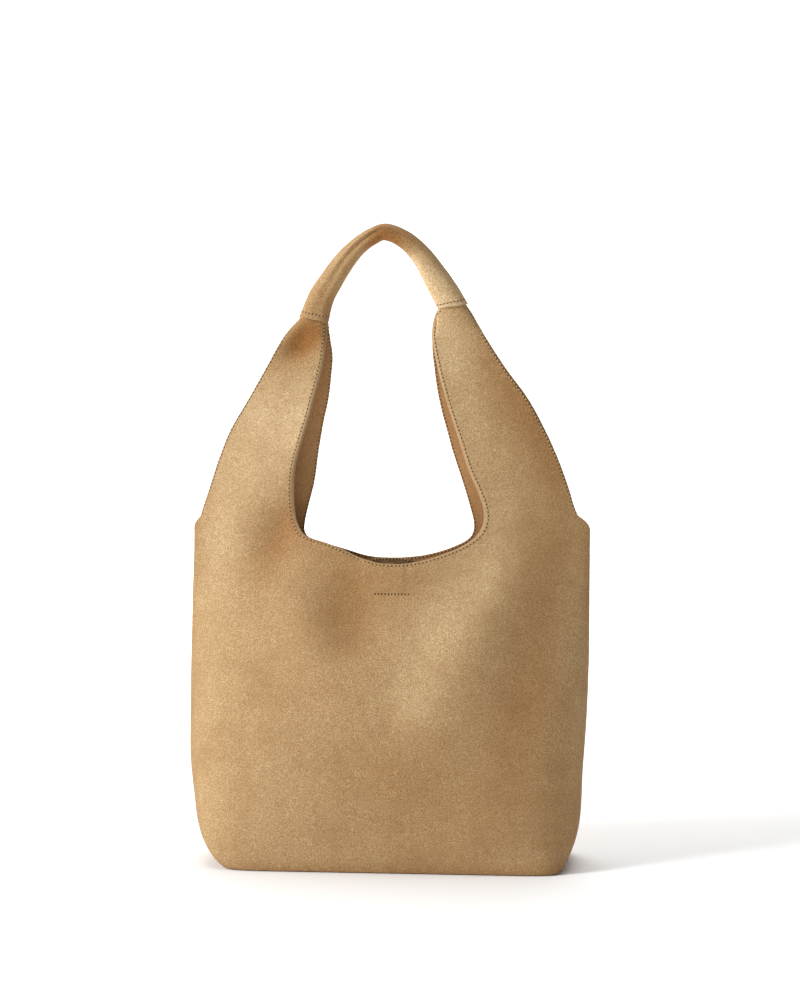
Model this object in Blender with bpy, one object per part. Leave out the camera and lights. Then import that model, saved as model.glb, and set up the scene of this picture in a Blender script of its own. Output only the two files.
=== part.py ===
"""A soft suede hobo bag standing on its base.

Frame: metres, +Z up, X to the right as seen from the front, the front face
towards -Y. The origin is the middle of the base panel's underside.
All sizes below are in millimetres and are scaled once, in make_object().
"""

import math

import bmesh
import bpy
import numpy as np
from mathutils import Matrix, Vector

MM = 0.001
GAP = 0.3  # clearance between neighbouring pieces
HIDE = 1.8  # thickness of the suede
BASE_TOP = 2.0  # thickness of the base panel

# --- the bag's form, by height -------------------------------------------
# Distance from the centre line to each side seam.
LEFT_SEAM = [(0, 148), (4, 154), (10, 161), (20, 169), (32, 175), (60, 181), (108, 185.5), (170, 185), (238, 183), (303, 181), (520, 181)]
RIGHT_SEAM = [(0, 151), (5, 155), (14, 160), (25, 165), (40, 169), (86, 172), (132, 175), (205, 177), (305, 177), (520, 177)]
# Half depth on the centre line, front and back alike.
HALF_DEPTH = [(0, 55), (20, 57), (60, 59), (110, 57), (160, 51), (210, 41), (250, 30), (276, 25.5), (300, 23.5), (340, 20.5), (380, 17.5), (420, 14), (450, 11.4), (470, 9.6), (480, 9.0), (520, 8.8)]
# Exponents of the section: boxy at the base, a pointed lens at the mouth.
SPREAD = [(0, 9.0), (12, 6.6), (40, 4.2), (110, 2.9), (200, 2.3), (300, 2.0), (520, 2.0)]
ROUND = [(0, 0.11), (12, 0.15), (40, 0.25), (110, 0.42), (200, 0.62), (300, 0.85), (520, 0.85)]
# How far the wall reaches in along X at the side seam.
SEAM_WALL = [(0, HIDE), (60, 2.0), (150, 3.2), (230, 5.0), (300, 6.5), (520, 6.5)]

# Edge of each ear as (x, z): the armhole side, and the opening's edge from
# the left neck down round the mouth and up to the right neck.
ARMHOLE_LEFT = [(-190, 303), (-181, 304), (-176, 311), (-173, 321), (-167, 339), (-158, 366), (-147, 393), (-131, 420), (-115, 448), (-100, 475), (-88, 491), (-86, 500)]
ARMHOLE_RIGHT = [(190, 304), (177, 305), (169, 314), (163, 324), (158, 342), (148, 369), (136, 395), (121, 422), (101, 449), (84, 475), (73, 492), (71, 505)]
MOUTH_FRONT = [(-59, 500), (-59, 490), (-61, 471), (-65, 449), (-71, 427), (-77, 405), (-84, 382), (-89, 364), (-91, 346), (-91, 328), (-89, 314), (-84, 303), (-76, 298), (-62, 294), (-46, 288.5), (-30, 281), (-12, 276), (8, 275.5), (26, 278), (44, 283), (62, 290), (75, 298), (82, 306), (85, 316), (84, 327), (79, 341), (70, 361), (61, 388), (52, 414), (44, 441), (38, 466), (36, 481), (37, 494), (38, 505)]
MOUTH_BACK = [(-61, 500), (-61, 490), (-58.5, 473), (-57, 458), (-58.5, 441), (-61.5, 419), (-66, 400), (-71, 373), (-75, 346), (-80, 327), (-84, 311), (-85, 300), (-80, 293), (-68, 289), (-48, 283), (-28, 277), (-12, 275), (6, 275), (24, 277), (41, 281), (55, 286), (67, 292), (73, 299), (74, 309), (71, 321), (66, 338), (60, 356), (54, 374), (49, 392), (44, 410), (40, 429), (37, 451), (35.5, 466), (36, 480), (37, 494), (38, 505)]

# --- the handle -----------------------------------------------------------
# The fold line where the ear tips bend under the handle.
FOLD_LEFT, FOLD_RIGHT = (-71.5, 480.5), (53.5, 493.0)
FOLD_RADIUS = 8.1
# Stations of the strap: x, z, half width across the strap, half depth in Y,
# and the direction from its outer to its inner edge, in degrees.
STRAP = [(-71.3, 492.5, 13.0, 8.4, -10), (-64.2, 512.5, 11.4, 8.8, -20), (-54.6, 528.4, 10.3, 9.4, -31), (-43.5, 544.4, 9.2, 10.2, -38), (-31, 557.8, 7.9, 10.8, -50), (-18.4, 566.4, 7.5, 11.0, -68), (-6, 570.3, 7.5, 11.0, -96), (11, 563, 8.0, 10.8, -124), (25, 549.5, 9.2, 10.4, -140), (36.5, 532.5, 11.0, 9.6, -148), (44.6, 519.5, 12.2, 8.9, -156), (53, 504.8, 13.4, 8.4, -172)]

# --- inside ---------------------------------------------------------------
SNAP_X, SNAP_Z = -4.0, 262.5
POCKET = (-76.0, 76.0, 104.0, 236.0)
POCKET_FRONT, POCKET_REAR = 13.5, 19.9
ZIP_Z, ZIP_HALF = 213.0, 60.0
SLIDER_X = 54.8


def along(table, at):
    """A smooth value through a table of (position, value) rows."""
    at = np.asarray(at, float)
    x = np.array([row[0] for row in table], float)
    y = np.array([row[1] for row in table], float)
    secant = np.diff(y) / np.diff(x)
    slope = np.concatenate([secant[:1], (secant[:-1] + secant[1:]) / 2, secant[-1:]])
    flat = np.concatenate([[False], secant[:-1] * secant[1:] <= 0, [False]])
    slope[flat] = 0
    i = np.clip(np.searchsorted(x, at) - 1, 0, len(x) - 2)
    h = x[i + 1] - x[i]
    t = np.clip((at - x[i]) / h, 0, 1)
    return (
        (2 * t**3 - 3 * t**2 + 1) * y[i]
        + (t**3 - 2 * t**2 + t) * h * slope[i]
        + (3 * t**2 - 2 * t**3) * y[i + 1]
        + (t**3 - t**2) * h * slope[i + 1]
    )


def smooth_path(points, steps):
    """The points joined by a smooth curve, with this many steps to a span."""
    points = np.asarray(points, float)
    ends = np.vstack([2 * points[0] - points[1], points, 2 * points[-1] - points[-2]])
    out = []
    for a, b, c, d in zip(ends, ends[1:], ends[2:], ends[3:]):
        for t in np.arange(steps) / steps:
            out.append(0.5 * (2 * b + (c - a) * t + (2 * a - 5 * b + 4 * c - d) * t**2 + (3 * b - a - 3 * c + d) * t**3))
    return np.array(out + [points[-1]])


# Soft hollows and ridges of the front: centre x, z, half length, half width,
# lean of the long axis in degrees from upright, and how far it stands out.
FRONT_DRAPE = [(-104, 262, 44, 17, 24, -6.0), (-78, 238, 46, 15, 12, 4.0), (-38, 226, 52, 20, -8, -7.5), (62, 228, 88, 17, -34, 7.0), (92, 158, 60, 26, -38, -5.0), (10, 120, 60, 60, 0, 2.0), (-84, 462, 20, 10, 30, -2.2)]
BACK_DRAPE = [(-70, 205, 60, 24, 18, -3.0), (40, 200, 60, 22, -20, -3.5), (88, 250, 50, 18, -30, 3.0), (-5, 120, 60, 70, 0, 2.0)]


def drape(x, z, folds):
    """How far the folds push the hide out at each place."""
    out = np.zeros(np.broadcast(x, z).shape)
    for cx, cz, length, width, lean, height in folds:
        a = math.radians(lean)
        up = -(x - cx) * math.sin(a) + (z - cz) * math.cos(a)
        side = (x - cx) * math.cos(a) + (z - cz) * math.sin(a)
        out = out + height * np.exp(-((up / length) ** 2) - (side / width) ** 2)
    return out


def wall(u, z, side, inset=0.0):
    """Points of the bag's wall. u runs -1 to 1 from seam to seam, side is -1
    for the front and 1 for the back, inset is how far inside the hide's face."""
    left, right = along(LEFT_SEAM, z), along(RIGHT_SEAM, z)
    middle, half = (right - left) / 2, (right + left) / 2
    reach = inset / HIDE * along(SEAM_WALL, z)
    x = middle + u * (half - reach)
    round_ = np.clip(1 - np.abs(u) ** along(SPREAD, z), 0, 1) ** along(ROUND, z)
    folds = drape(x, z, FRONT_DRAPE if side < 0 else BACK_DRAPE)
    fade = np.clip(1 - np.abs(u) ** 3, 0, 1)
    y = side * (GAP / 2 + (along(HALF_DEPTH, z) - inset) * round_ + folds * fade)
    return np.stack(np.broadcast_arrays(x, y, z), axis=-1)


def wall_y(x, z, side, inset=0.0):
    """Where the wall stands at this x and height."""
    left, right = along(LEFT_SEAM, z), along(RIGHT_SEAM, z)
    reach = inset / HIDE * along(SEAM_WALL, z)
    u = (x - (right - left) / 2) / ((right + left) / 2 - reach)
    return wall(u, z, side, inset)[..., 1]


def make_object(name, points, faces):
    """A mesh object from points in millimetres, its faces turned outwards."""
    mesh = bpy.data.meshes.new(name)
    mesh.from_pydata([tuple(float(c) * MM for c in p) for p in points], [], [list(map(int, f)) for f in faces])
    shape = bmesh.new()
    shape.from_mesh(mesh)
    bmesh.ops.remove_doubles(shape, verts=shape.verts, dist=1e-6)
    bmesh.ops.recalc_face_normals(shape, faces=shape.faces)
    shape.to_mesh(mesh)
    shape.free()
    obj = bpy.data.objects.new(name, mesh)
    bpy.context.scene.collection.objects.link(obj)
    return obj


def sheet(name, outer, inner):
    """A closed slab between two grids of points."""
    rows, columns = outer.shape[:2]
    index = np.arange(rows * columns).reshape(rows, columns)
    low = rows * columns
    faces = []
    for i in range(rows - 1):
        for j in range(columns - 1):
            quad = [index[i, j], index[i, j + 1], index[i + 1, j + 1], index[i + 1, j]]
            faces += [quad, [q + low for q in reversed(quad)]]
    rim = list(index[0]) + list(index[1:, -1]) + list(index[-1, -2::-1]) + list(index[-2:0:-1, 0])
    for a, b in zip(rim, rim[1:] + rim[:1]):
        faces.append([b, a, a + low, b + low])
    return make_object(name, np.vstack([outer.reshape(-1, 3), inner.reshape(-1, 3)]), faces)


def tube(name, rings, bore=None):
    """A closed body through the rings, hollow if bore gives inner rings."""
    count = len(rings[0])
    points = list(np.vstack(rings))
    faces = []

    def skin(start, number, turned):
        for i in range(number - 1):
            for j in range(count):
                k = (j + 1) % count
                a, b = start + i * count, start + (i + 1) * count
                quad = [a + j, a + k, b + k, b + j]
                faces.append(quad[::-1] if turned else quad)

    skin(0, len(rings), False)
    last = (len(rings) - 1) * count
    if bore is None:
        faces.append(list(range(count))[::-1])
        faces.append([last + j for j in range(count)])
    else:
        start = len(points)
        points += list(np.vstack(bore))
        skin(start, len(bore), True)
        for a, b in ((0, start), (last, start + (len(bore) - 1) * count)):
            for j in range(count):
                k = (j + 1) % count
                faces.append([a + j, a + k, b + k, b + j])
    return make_object(name, points, faces)


def prism(name, outline, low, high, axis="y"):
    """The outline pushed through along Y or Z. An outline for Y holds (x, z)."""
    count = len(outline)
    place = (lambda p, h: (p[0], h, p[1])) if axis == "y" else (lambda p, h: (p[0], p[1], h))
    points = [place(p, low) for p in outline] + [place(p, high) for p in outline]
    faces = [list(range(count)), list(range(2 * count - 1, count - 1, -1))]
    faces += [[i, (i + 1) % count, (i + 1) % count + count, i + count] for i in range(count)]
    return make_object(name, points, faces)


def box(name, x, y, z):
    return prism(name, [(x[0], z[0]), (x[1], z[0]), (x[1], z[1]), (x[0], z[1])], y[0], y[1])


def combine(obj, other, operation):
    """Cuts, joins or keeps the overlap, and takes the other object away."""
    change = obj.modifiers.new("shape", "BOOLEAN")
    change.operation, change.solver, change.object = operation, "EXACT", other
    bpy.context.view_layer.update()
    graph = bpy.context.evaluated_depsgraph_get()
    result = bpy.data.meshes.new_from_object(obj.evaluated_get(graph))
    obj.modifiers.clear()
    obj.data = result
    result.name = obj.name
    bpy.data.objects.remove(other)
    return obj


def fold_line(x):
    """Height of the fold line at this x."""
    slope = (FOLD_RIGHT[1] - FOLD_LEFT[1]) / (FOLD_RIGHT[0] - FOLD_LEFT[0])
    return FOLD_LEFT[1] + slope * (x - FOLD_LEFT[0])


def above_fold():
    """Everything above the ear tops, and the round hollow of the tips."""
    radius, drop = FOLD_RADIUS + GAP, 3.4
    start = math.asin(drop / radius)
    profile = [(-60, -drop)] + [(-radius * math.cos(a), -radius * math.sin(a)) for a in np.linspace(start, math.pi - start, 21)] + [(60, -drop), (60, 90), (-60, 90)]
    rings = []
    for x in (-140.0, 140.0):
        rings.append(np.array([(x, y, fold_line(x) + z) for y, z in profile]))
    return tube("above_fold", rings)


# --- walls ----------------------------------------------------------------
def make_panel(name, side, opening):
    q = np.linspace(-1, 1, 43)
    u = np.sin(q * math.pi / 2)
    z = np.concatenate([[BASE_TOP + GAP, 6, 10, 15, 21, 28, 37], np.arange(48, 516, 15)])
    columns, rows = np.meshgrid(u, z)
    panel = sheet(name, wall(columns, rows, side), wall(columns, rows, side, HIDE))
    edge = [(-260, -20), (-260, 303)]
    edge += list(smooth_path(ARMHOLE_LEFT, 3)) + [(-84, 530), (-60, 530)]
    edge += list(smooth_path(opening, 3)) + [(40, 530), (70, 530)]
    edge += list(smooth_path(ARMHOLE_RIGHT, 3)[::-1]) + [(260, 304), (260, -20)]
    combine(panel, prism("outline", edge, -90, 90), "INTERSECT")
    return combine(panel, above_fold(), "DIFFERENCE")


def base_outline(inset):
    half_x, half_y = 149.5 - inset, 55 - inset
    turn = np.linspace(0, 2 * math.pi, 73)[:-1]
    c, s = np.cos(turn), np.sin(turn)
    power = 2 / 9.0
    return np.stack([half_x * np.sign(c) * np.abs(c) ** power, half_y * np.sign(s) * np.abs(s) ** power], axis=1)


def make_base():
    prism("base_panel", base_outline(0), 0, BASE_TOP, "z")
    prism("base_stiffener", base_outline(HIDE + 1.0), BASE_TOP + GAP, 4.3, "z")
    prism("base_liner", base_outline(HIDE + 1.4), 4.6, 5.8, "z")


def make_binding(name, side):
    """The bound seam allowance that stands inside each side seam."""
    z = np.concatenate([[7.0, 12], np.arange(20, 296, 12), [297.0]])
    seam = along(LEFT_SEAM if side < 0 else RIGHT_SEAM, z) - along(SEAM_WALL, z)
    start = seam - along([(0, 0.6), (60, 0.9), (150, 2.2), (230, 4.6), (300, 6.4)], z)
    outer = np.array([[(side * x, -1.2, h), (side * x, 1.2, h)] for x, h in zip(start, z)])
    inner = outer - np.array([side * 10.0, 0, 0])
    return sheet(name, outer, inner)


# --- handle ---------------------------------------------------------------
def strap_rings(first, last, steps, trim, segments=24):
    """Rings along the strap between two stations, trim inside its face."""
    path = smooth_path(STRAP, steps)
    path = path[round(first * steps) : round(last * steps) + 1]
    turn = np.linspace(0, 2 * math.pi, segments + 1)[:-1]
    c, s = np.cos(turn), np.sin(turn)
    c, s = np.sign(c) * np.abs(c) ** 0.8, np.sign(s) * np.abs(s) ** 0.8
    rings = []
    for x, z, wide, deep, lean in path:
        a = math.radians(lean)
        across = (wide - trim) * c
        rings.append(np.stack([x + math.cos(a) * across, (deep - trim) * s, z + math.sin(a) * across], axis=1))
    return rings


def make_tip(name, side):
    """The joined ear tips: a round fold, and a tongue held in the sleeve."""
    x = FOLD_LEFT[0] if side < 0 else FOLD_RIGHT[0]
    low, high = (-92, -60) if side < 0 else (37.5, 74)
    turn = np.linspace(0, 2 * math.pi, 33)[:-1]
    rings = []
    for share, radius in ((0, 5.6), (0.02, 7.1), (0.07, FOLD_RADIUS), (0.93, FOLD_RADIUS), (0.98, 7.1), (1, 5.6)):
        at = low + share * (high - low)
        rings.append(np.stack([np.full(32, at), radius * np.cos(turn), fold_line(at) + radius * np.sin(turn)], axis=1))
    roll = tube(name, rings)
    trim = HIDE + 0.5
    last = len(STRAP) - 1
    tongue = strap_rings(0, 1, 6, trim) if side < 0 else strap_rings(last - 1, last, 6, trim)[::-1]
    tongue = [ring * (1, slim, 1) for ring, slim in zip(tongue, (0.42, 0.6, 0.9, 1, 1, 1, 1))]
    foot = tongue[0] + (np.array([x, 0, fold_line(x)]) - tongue[0].mean(axis=0))
    return combine(roll, tube("tongue", [foot] + tongue), "UNION")


def make_handle():
    last = len(STRAP) - 1
    tube("handle_sleeve", strap_rings(0, last, 3, 0), strap_rings(0, last, 3, HIDE))
    tube("handle_core", strap_rings(4 / 3, last - 4 / 3, 3, HIDE + 0.5))
    make_tip("ear_tip_left", -1)
    make_tip("ear_tip_right", 1)


# --- magnetic snap --------------------------------------------------------
def disc(name, radius, low, high, place, segments=32):
    turn = np.linspace(0, 2 * math.pi, segments + 1)[:-1]
    obj = prism(name, np.stack([radius * np.cos(turn), radius * np.sin(turn)], axis=1), low, high, "z")
    obj.data.transform(place)
    return obj


def make_snap_half(side, word, fastener):
    """A patch on the inside of the wall with half of the snap on it."""
    x, z = SNAP_X, SNAP_Z
    y = float(wall_y(x, z, side, HIDE))
    along_z = float(wall_y(x, z + 8, side, HIDE) - wall_y(x, z - 8, side, HIDE)) / 16
    along_x = float(wall_y(x + 8, z, side, HIDE) - wall_y(x - 8, z, side, HIDE)) / 16
    inward = (Vector((-along_x, 1, -along_z)) * -side).normalized()
    across = Vector((0, along_z, 1)).cross(inward).normalized()
    up = inward.cross(across)
    place = Matrix((across, up, inward)).transposed().to_4x4()
    place.translation = Vector((x, y, z)) * MM
    half_x, half_z, corner = 20.0, 12.5, 4.0
    outline = []
    for cx, cz, start in ((1, 1, 0), (-1, 1, 90), (-1, -1, 180), (1, -1, 270)):
        for a in np.radians(np.linspace(start, start + 90, 6)):
            outline.append((x + cx * (half_x - corner) + corner * math.cos(a), z + cz * (half_z - corner) + corner * math.sin(a)))
    columns, rows = np.meshgrid(np.linspace(x - 21, x + 21, 13), np.linspace(z - 13, z + 13, 8))
    outer = np.stack([columns, wall_y(columns, rows, side, HIDE) - side * 0.6, rows], axis=-1)
    inner = outer - np.array([0, side * 2.3, 0])
    patch = sheet("snap_patch_" + word, outer, inner)
    combine(patch, prism("corners", outline, -90, 90), "INTERSECT")
    combine(patch, disc("recess", 8.3, 0.4, 1.9, place), "DIFFERENCE")
    combine(patch, disc("hole", 3.2, 0.0, 4.0, place), "DIFFERENCE")
    washer = disc("snap_washer_" + word, 8.0, 1.0, 1.6, place)
    combine(washer, disc("hole", 3.2, 0.0, 4.0, place), "DIFFERENCE")
    base = disc(fastener, 9.0, 3.6, 6.0 if fastener == "snap_socket" else 4.8, place)
    combine(base, disc("stem", 2.8, 0.7, 4.2, place), "UNION")
    if fastener == "snap_socket":
        combine(base, disc("well", 4.2, 4.6, 7.0, place), "DIFFERENCE")
    else:
        combine(base, disc("knob", 3.8, 4.2, 6.2, place), "UNION")


# --- zip pocket -----------------------------------------------------------
def make_pocket():
    left, right, low, high = POCKET
    front, rear = POCKET_FRONT, POCKET_REAR
    pouch = box("pocket_front", (left, right), (front, rear), (low, high))
    combine(pouch, box("room", (left + 1, right - 1), (front + 1, rear + 9), (low + 1, high - 1)), "DIFFERENCE")
    combine(pouch, box("slot", (-ZIP_HALF - 3, ZIP_HALF + 3), (front - 9, front + 3), (ZIP_Z - 4.8, ZIP_Z + 4.8)), "DIFFERENCE")
    box("pocket_rear", (left, right), (rear + GAP, rear + GAP + 0.8), (low, high))
    x = np.linspace(left, right, 21)
    z = np.array([222.0, 226.0, 231.0, 236.0])
    columns, rows = np.meshgrid(x, z)
    outer = np.stack([columns, wall_y(columns, rows, 1, HIDE) - 0.6, rows], axis=-1)
    flat = outer.copy()
    flat[..., 1] = rear + 2 * GAP + 0.8
    sheet("pocket_hanger", outer, flat)
    tape = (front + 1 + GAP, front + 2.0)
    for word, way in (("upper", 1), ("lower", -1)):
        box("zip_tape_" + word, (-ZIP_HALF - 6, ZIP_HALF + 6), tape, sorted((ZIP_Z + way * 2.9, ZIP_Z + way * 13)))
        make_coil("zip_coil_" + word, way)
    for word, way in (("left", -1), ("right", 1)):
        box("zip_stop_" + word, sorted((way * (ZIP_HALF + 0.4), way * (ZIP_HALF + 2.4))), (front + 0.6, front + 2.6), (ZIP_Z - 2.6, ZIP_Z + 2.6))


def make_coil(name, way):
    """A rail with the coil's teeth along its inner edge."""
    pitch = 2.5
    count = int(2 * ZIP_HALF / pitch)
    near, mid, far = ZIP_Z + way * 1.0, ZIP_Z + way * 1.5, ZIP_Z + way * 2.6
    edge = [(-count * pitch / 2, far)]
    for i in range(count):
        x = (i - count / 2) * pitch
        edge += [(x, mid), (x + 0.5, near), (x + 1.6, near), (x + 2.1, mid)]
    edge += [(count * pitch / 2, mid), (count * pitch / 2, far)]
    prism(name, edge, POCKET_FRONT + 0.9, POCKET_FRONT + 2.3)


def make_slider():
    x, z, front = SLIDER_X, ZIP_Z, POCKET_FRONT
    slider = box("zip_slider", (x - 5, x + 5), (front - 0.6, front + 0.5), (z - 4, z + 4))
    combine(slider, box("rear", (x - 5, x + 5), (front + 2.7, front + 3.8), (z - 4, z + 4)), "UNION")
    combine(slider, box("web", (x + 1.6, x + 4.4), (front + 0.2, front + 3.0), (z - 0.7, z + 0.7)), "UNION")
    combine(slider, box("arch", (x - 3.8, x + 3.8), (front - 3.0, front - 0.3), (z - 1.1, z + 1.1)), "UNION")
    combine(slider, box("arch_gap", (x - 2.8, x + 2.8), (front - 2.1, front - 0.6), (z - 2.0, z + 2.0)), "DIFFERENCE")
    y = front - 1.35
    puller = box("zip_puller", (x - 27, x - 5.0), (y - 0.5, y + 0.5), (z - 3.4, z + 3.4))
    for way in (-1, 1):
        combine(puller, box("arm", (x - 5.4, x + 0.45), (y - 0.45, y + 0.45), sorted((z + way * 1.7, z + way * 3.4))), "UNION")
    combine(puller, box("bar", (x - 0.45, x + 0.45), (y - 0.45, y + 0.45), (z - 2.2, z + 2.2)), "UNION")


for startup in list(bpy.data.objects):
    bpy.data.objects.remove(startup)
make_panel("front_panel", -1, MOUTH_FRONT)
make_panel("back_panel", 1, MOUTH_BACK)
make_base()
make_binding("side_binding_left", -1)
make_binding("side_binding_right", 1)
make_handle()
make_snap_half(-1, "front", "snap_stud")
make_snap_half(1, "back", "snap_socket")
make_pocket()
make_slider()
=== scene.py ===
# %% [markdown]
# # A soft suede hobo bag
#
# This lesson dresses a measured frame of a hobo bag as the real thing. The
# bag is two big pieces of suede, a flat base, one short handle and the small
# parts inside. Each step says what the piece is on a real bag, how it could
# be made in Blender, and why this way was picked.
#
# The first cell loads the frame. Every length below is in metres once it
# reaches Blender; the pattern-maker's tables are in millimetres, because
# that is how leather is cut.

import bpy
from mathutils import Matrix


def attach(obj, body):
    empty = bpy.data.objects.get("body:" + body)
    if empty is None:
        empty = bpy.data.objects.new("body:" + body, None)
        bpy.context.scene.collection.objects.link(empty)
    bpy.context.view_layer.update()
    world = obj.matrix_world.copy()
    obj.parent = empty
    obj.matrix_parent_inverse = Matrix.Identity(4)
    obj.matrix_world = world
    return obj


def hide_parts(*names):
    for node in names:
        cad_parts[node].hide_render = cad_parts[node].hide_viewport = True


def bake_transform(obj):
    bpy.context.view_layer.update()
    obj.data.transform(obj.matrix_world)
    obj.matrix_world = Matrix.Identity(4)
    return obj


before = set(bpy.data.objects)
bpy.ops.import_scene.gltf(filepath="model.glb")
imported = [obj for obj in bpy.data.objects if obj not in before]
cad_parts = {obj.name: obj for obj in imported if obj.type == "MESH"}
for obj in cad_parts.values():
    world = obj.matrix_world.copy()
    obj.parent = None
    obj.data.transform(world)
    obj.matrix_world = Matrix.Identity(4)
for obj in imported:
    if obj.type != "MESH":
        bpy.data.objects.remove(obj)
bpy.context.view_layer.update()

import math

import bmesh
import bpy
import numpy as np
from mathutils import Vector

MM = 0.001
scene = bpy.context.scene

# %% [markdown]
# ## Camera, floor and light
#
# The camera comes first, so that each later piece is judged from the right
# place. A long lens from about two and a half metres keeps the sides nearly
# parallel, as in a catalogue picture.

# %% Camera
CAMERA_TURN, CAMERA_RISE = math.radians(4.5), math.radians(6.5)
CAMERA_DISTANCE = 2.6
LOOK_AT = Vector((0.006, 0.0, 0.3285))
WIDTH_SEEN = 0.72

away = Vector((
    math.sin(CAMERA_TURN) * math.cos(CAMERA_RISE),
    -math.cos(CAMERA_TURN) * math.cos(CAMERA_RISE),
    math.sin(CAMERA_RISE),
))
lens = bpy.data.cameras.new("long_lens")
lens.sensor_fit, lens.sensor_width = "HORIZONTAL", 36.0
lens.lens = 36.0 * CAMERA_DISTANCE / WIDTH_SEEN
camera = bpy.data.objects.new("camera", lens)
scene.collection.objects.link(camera)
camera.location = LOOK_AT + CAMERA_DISTANCE * away
camera.rotation_euler = away.to_track_quat("Z", "Y").to_euler()
scene.camera = camera
print("lens:", round(lens.lens), "mm at", CAMERA_DISTANCE, "m")

# %% [markdown]
# A studio sweep is a floor that curves up into a wall, so no horizon shows.
# It is one grid, stretched to the paper's size, whose far rows are lifted
# along a quarter circle. The lengths here are in metres.

# %% Sweep
GRID_SIZE = 16.0
PAPER_WIDTH, PAPER_LENGTH, PAPER_NEAR = 6.4, 11.2, -3.2
SWEEP_START, SWEEP_RADIUS = 2.4, 1.6


def deselect_all():
    """Leaves edit mode and selects nothing, as each bpy.ops step needs."""
    if bpy.context.mode != "OBJECT":
        bpy.ops.object.mode_set(mode="OBJECT")
    bpy.ops.object.select_all(action="DESELECT")


def take(obj):
    """Makes obj the one selected and active object."""
    deselect_all()
    obj.select_set(True)
    bpy.context.view_layer.objects.active = obj


deselect_all()
bpy.ops.mesh.primitive_grid_add(x_subdivisions=2, y_subdivisions=160, size=GRID_SIZE)
sweep = bpy.context.object
sweep.name = "studio_sweep"
for vertex in sweep.data.vertices:
    vertex.co.x *= PAPER_WIDTH / GRID_SIZE
    vertex.co.y = PAPER_NEAR + (vertex.co.y + GRID_SIZE / 2) * PAPER_LENGTH / GRID_SIZE
    past = vertex.co.y - SWEEP_START
    if past > 0:
        turn = min(past / SWEEP_RADIUS, math.pi / 2)
        vertex.co.y = SWEEP_START + SWEEP_RADIUS * math.sin(turn)
        straight = max(0.0, past - SWEEP_RADIUS * math.pi / 2)
        vertex.co.z = SWEEP_RADIUS * (1 - math.cos(turn)) + straight
bpy.ops.object.shade_smooth()
paper = bpy.data.materials.new("studio_paper")
paper.use_nodes = True
paper_look = paper.node_tree.nodes["Principled BSDF"].inputs
paper_look["Base Color"].default_value = (0.93, 0.93, 0.925, 1)
paper_look["Roughness"].default_value = 0.9
paper_look["Specular IOR Level"].default_value = 0.1
sweep.data.materials.append(paper)
print("sweep:", PAPER_WIDTH, "m wide,", len(sweep.data.polygons), "faces")

# %% [markdown]
# One window-like light stands high on the left and well to the side, because
# light that grazes a soft surface is what draws its folds. A weak fill keeps
# the right side readable, a wide sky-like light from above whitens the floor,
# and one more shines on the wall only. The view transform is Standard, so the
# pale floor stays white and the tan stays tan.

# %% Light
def soft_light(name, place, aim, size, watts):
    """A square lamp at a place, turned to what it lights."""
    data = bpy.data.lights.new(name, "AREA")
    data.shape, data.size, data.energy = "SQUARE", size, watts
    light = bpy.data.objects.new(name, data)
    scene.collection.objects.link(light)
    light.location = place
    light.rotation_euler = (Vector(place) - Vector(aim)).to_track_quat("Z", "Y").to_euler()


soft_light("window", (-2.45, -1.25, 1.75), (0, 0, 0.3), 0.8, 92)
soft_light("front_fill", (0.3, -3.0, 1.0), (0, 0, 0.3), 1.8, 5)
soft_light("wall_light", (0.0, 1.2, 2.6), (0, 4.0, 1.2), 2.6, 120)
sky = bpy.data.lights.new("ceiling", "SUN")
sky.energy, sky.angle = 1.6, math.radians(40)
ceiling = bpy.data.objects.new("ceiling", sky)
scene.collection.objects.link(ceiling)
ceiling.rotation_euler = (math.radians(-12), 0, 0)

# the room looks white, but gives only a little light to the shadows
world = bpy.data.worlds.new("pale_room")
world.use_nodes = True
room = world.node_tree
seen = room.nodes.new("ShaderNodeBackground")
seen.inputs["Color"].default_value = (1, 1, 1, 1)
dim = room.nodes["Background"]
dim.inputs["Color"].default_value = (1, 1, 1, 1)
dim.inputs["Strength"].default_value = 0.2
either = room.nodes.new("ShaderNodeMixShader")
room.links.new(room.nodes.new("ShaderNodeLightPath").outputs["Is Camera Ray"], either.inputs[0])
room.links.new(dim.outputs[0], either.inputs[1])
room.links.new(seen.outputs[0], either.inputs[2])
room.links.new(either.outputs[0], room.nodes["World Output"].inputs["Surface"])
scene.world = world
scene.view_settings.view_transform = "Standard"

# %% [markdown]
# ## Finishes
#
# Suede is the flesh side of a hide, brushed up into a nap of short fibres.
# Where the fibres lie one way it looks pale, where they lie the other way it
# looks deeper, and the hide takes its dye in clouds. Close up there is a
# pebbled grain about a millimetre across. One node group makes all of that,
# so every suede piece can share it with its own colours: clouds of three
# sizes mix the colours, and a fine grain gives the flecks and the height.

# %% Node helpers
def new_group(name, inputs, outputs):
    """A shader node group with named sockets, and its two end nodes."""
    group = bpy.data.node_groups.new(name, "ShaderNodeTree")
    for title, kind, value in inputs:
        socket = group.interface.new_socket(title, in_out="INPUT", socket_type=kind)
        socket.default_value = value
    for title, kind in outputs:
        group.interface.new_socket(title, in_out="OUTPUT", socket_type=kind)
    return group, group.nodes.new("NodeGroupInput"), group.nodes.new("NodeGroupOutput")


def noise_node(tree, vector, scale, detail=2.0, rough=0.5, warp=0.0):
    """Smooth random clouds; the scale is a number or another socket."""
    node = tree.nodes.new("ShaderNodeTexNoise")
    tree.links.new(vector, node.inputs["Vector"])
    for title, number in (("Detail", detail), ("Roughness", rough), ("Distortion", warp)):
        node.inputs[title].default_value = number
    if isinstance(scale, (int, float)):
        node.inputs["Scale"].default_value = scale
    else:
        tree.links.new(scale, node.inputs["Scale"])
    return node.outputs["Fac"]


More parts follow.
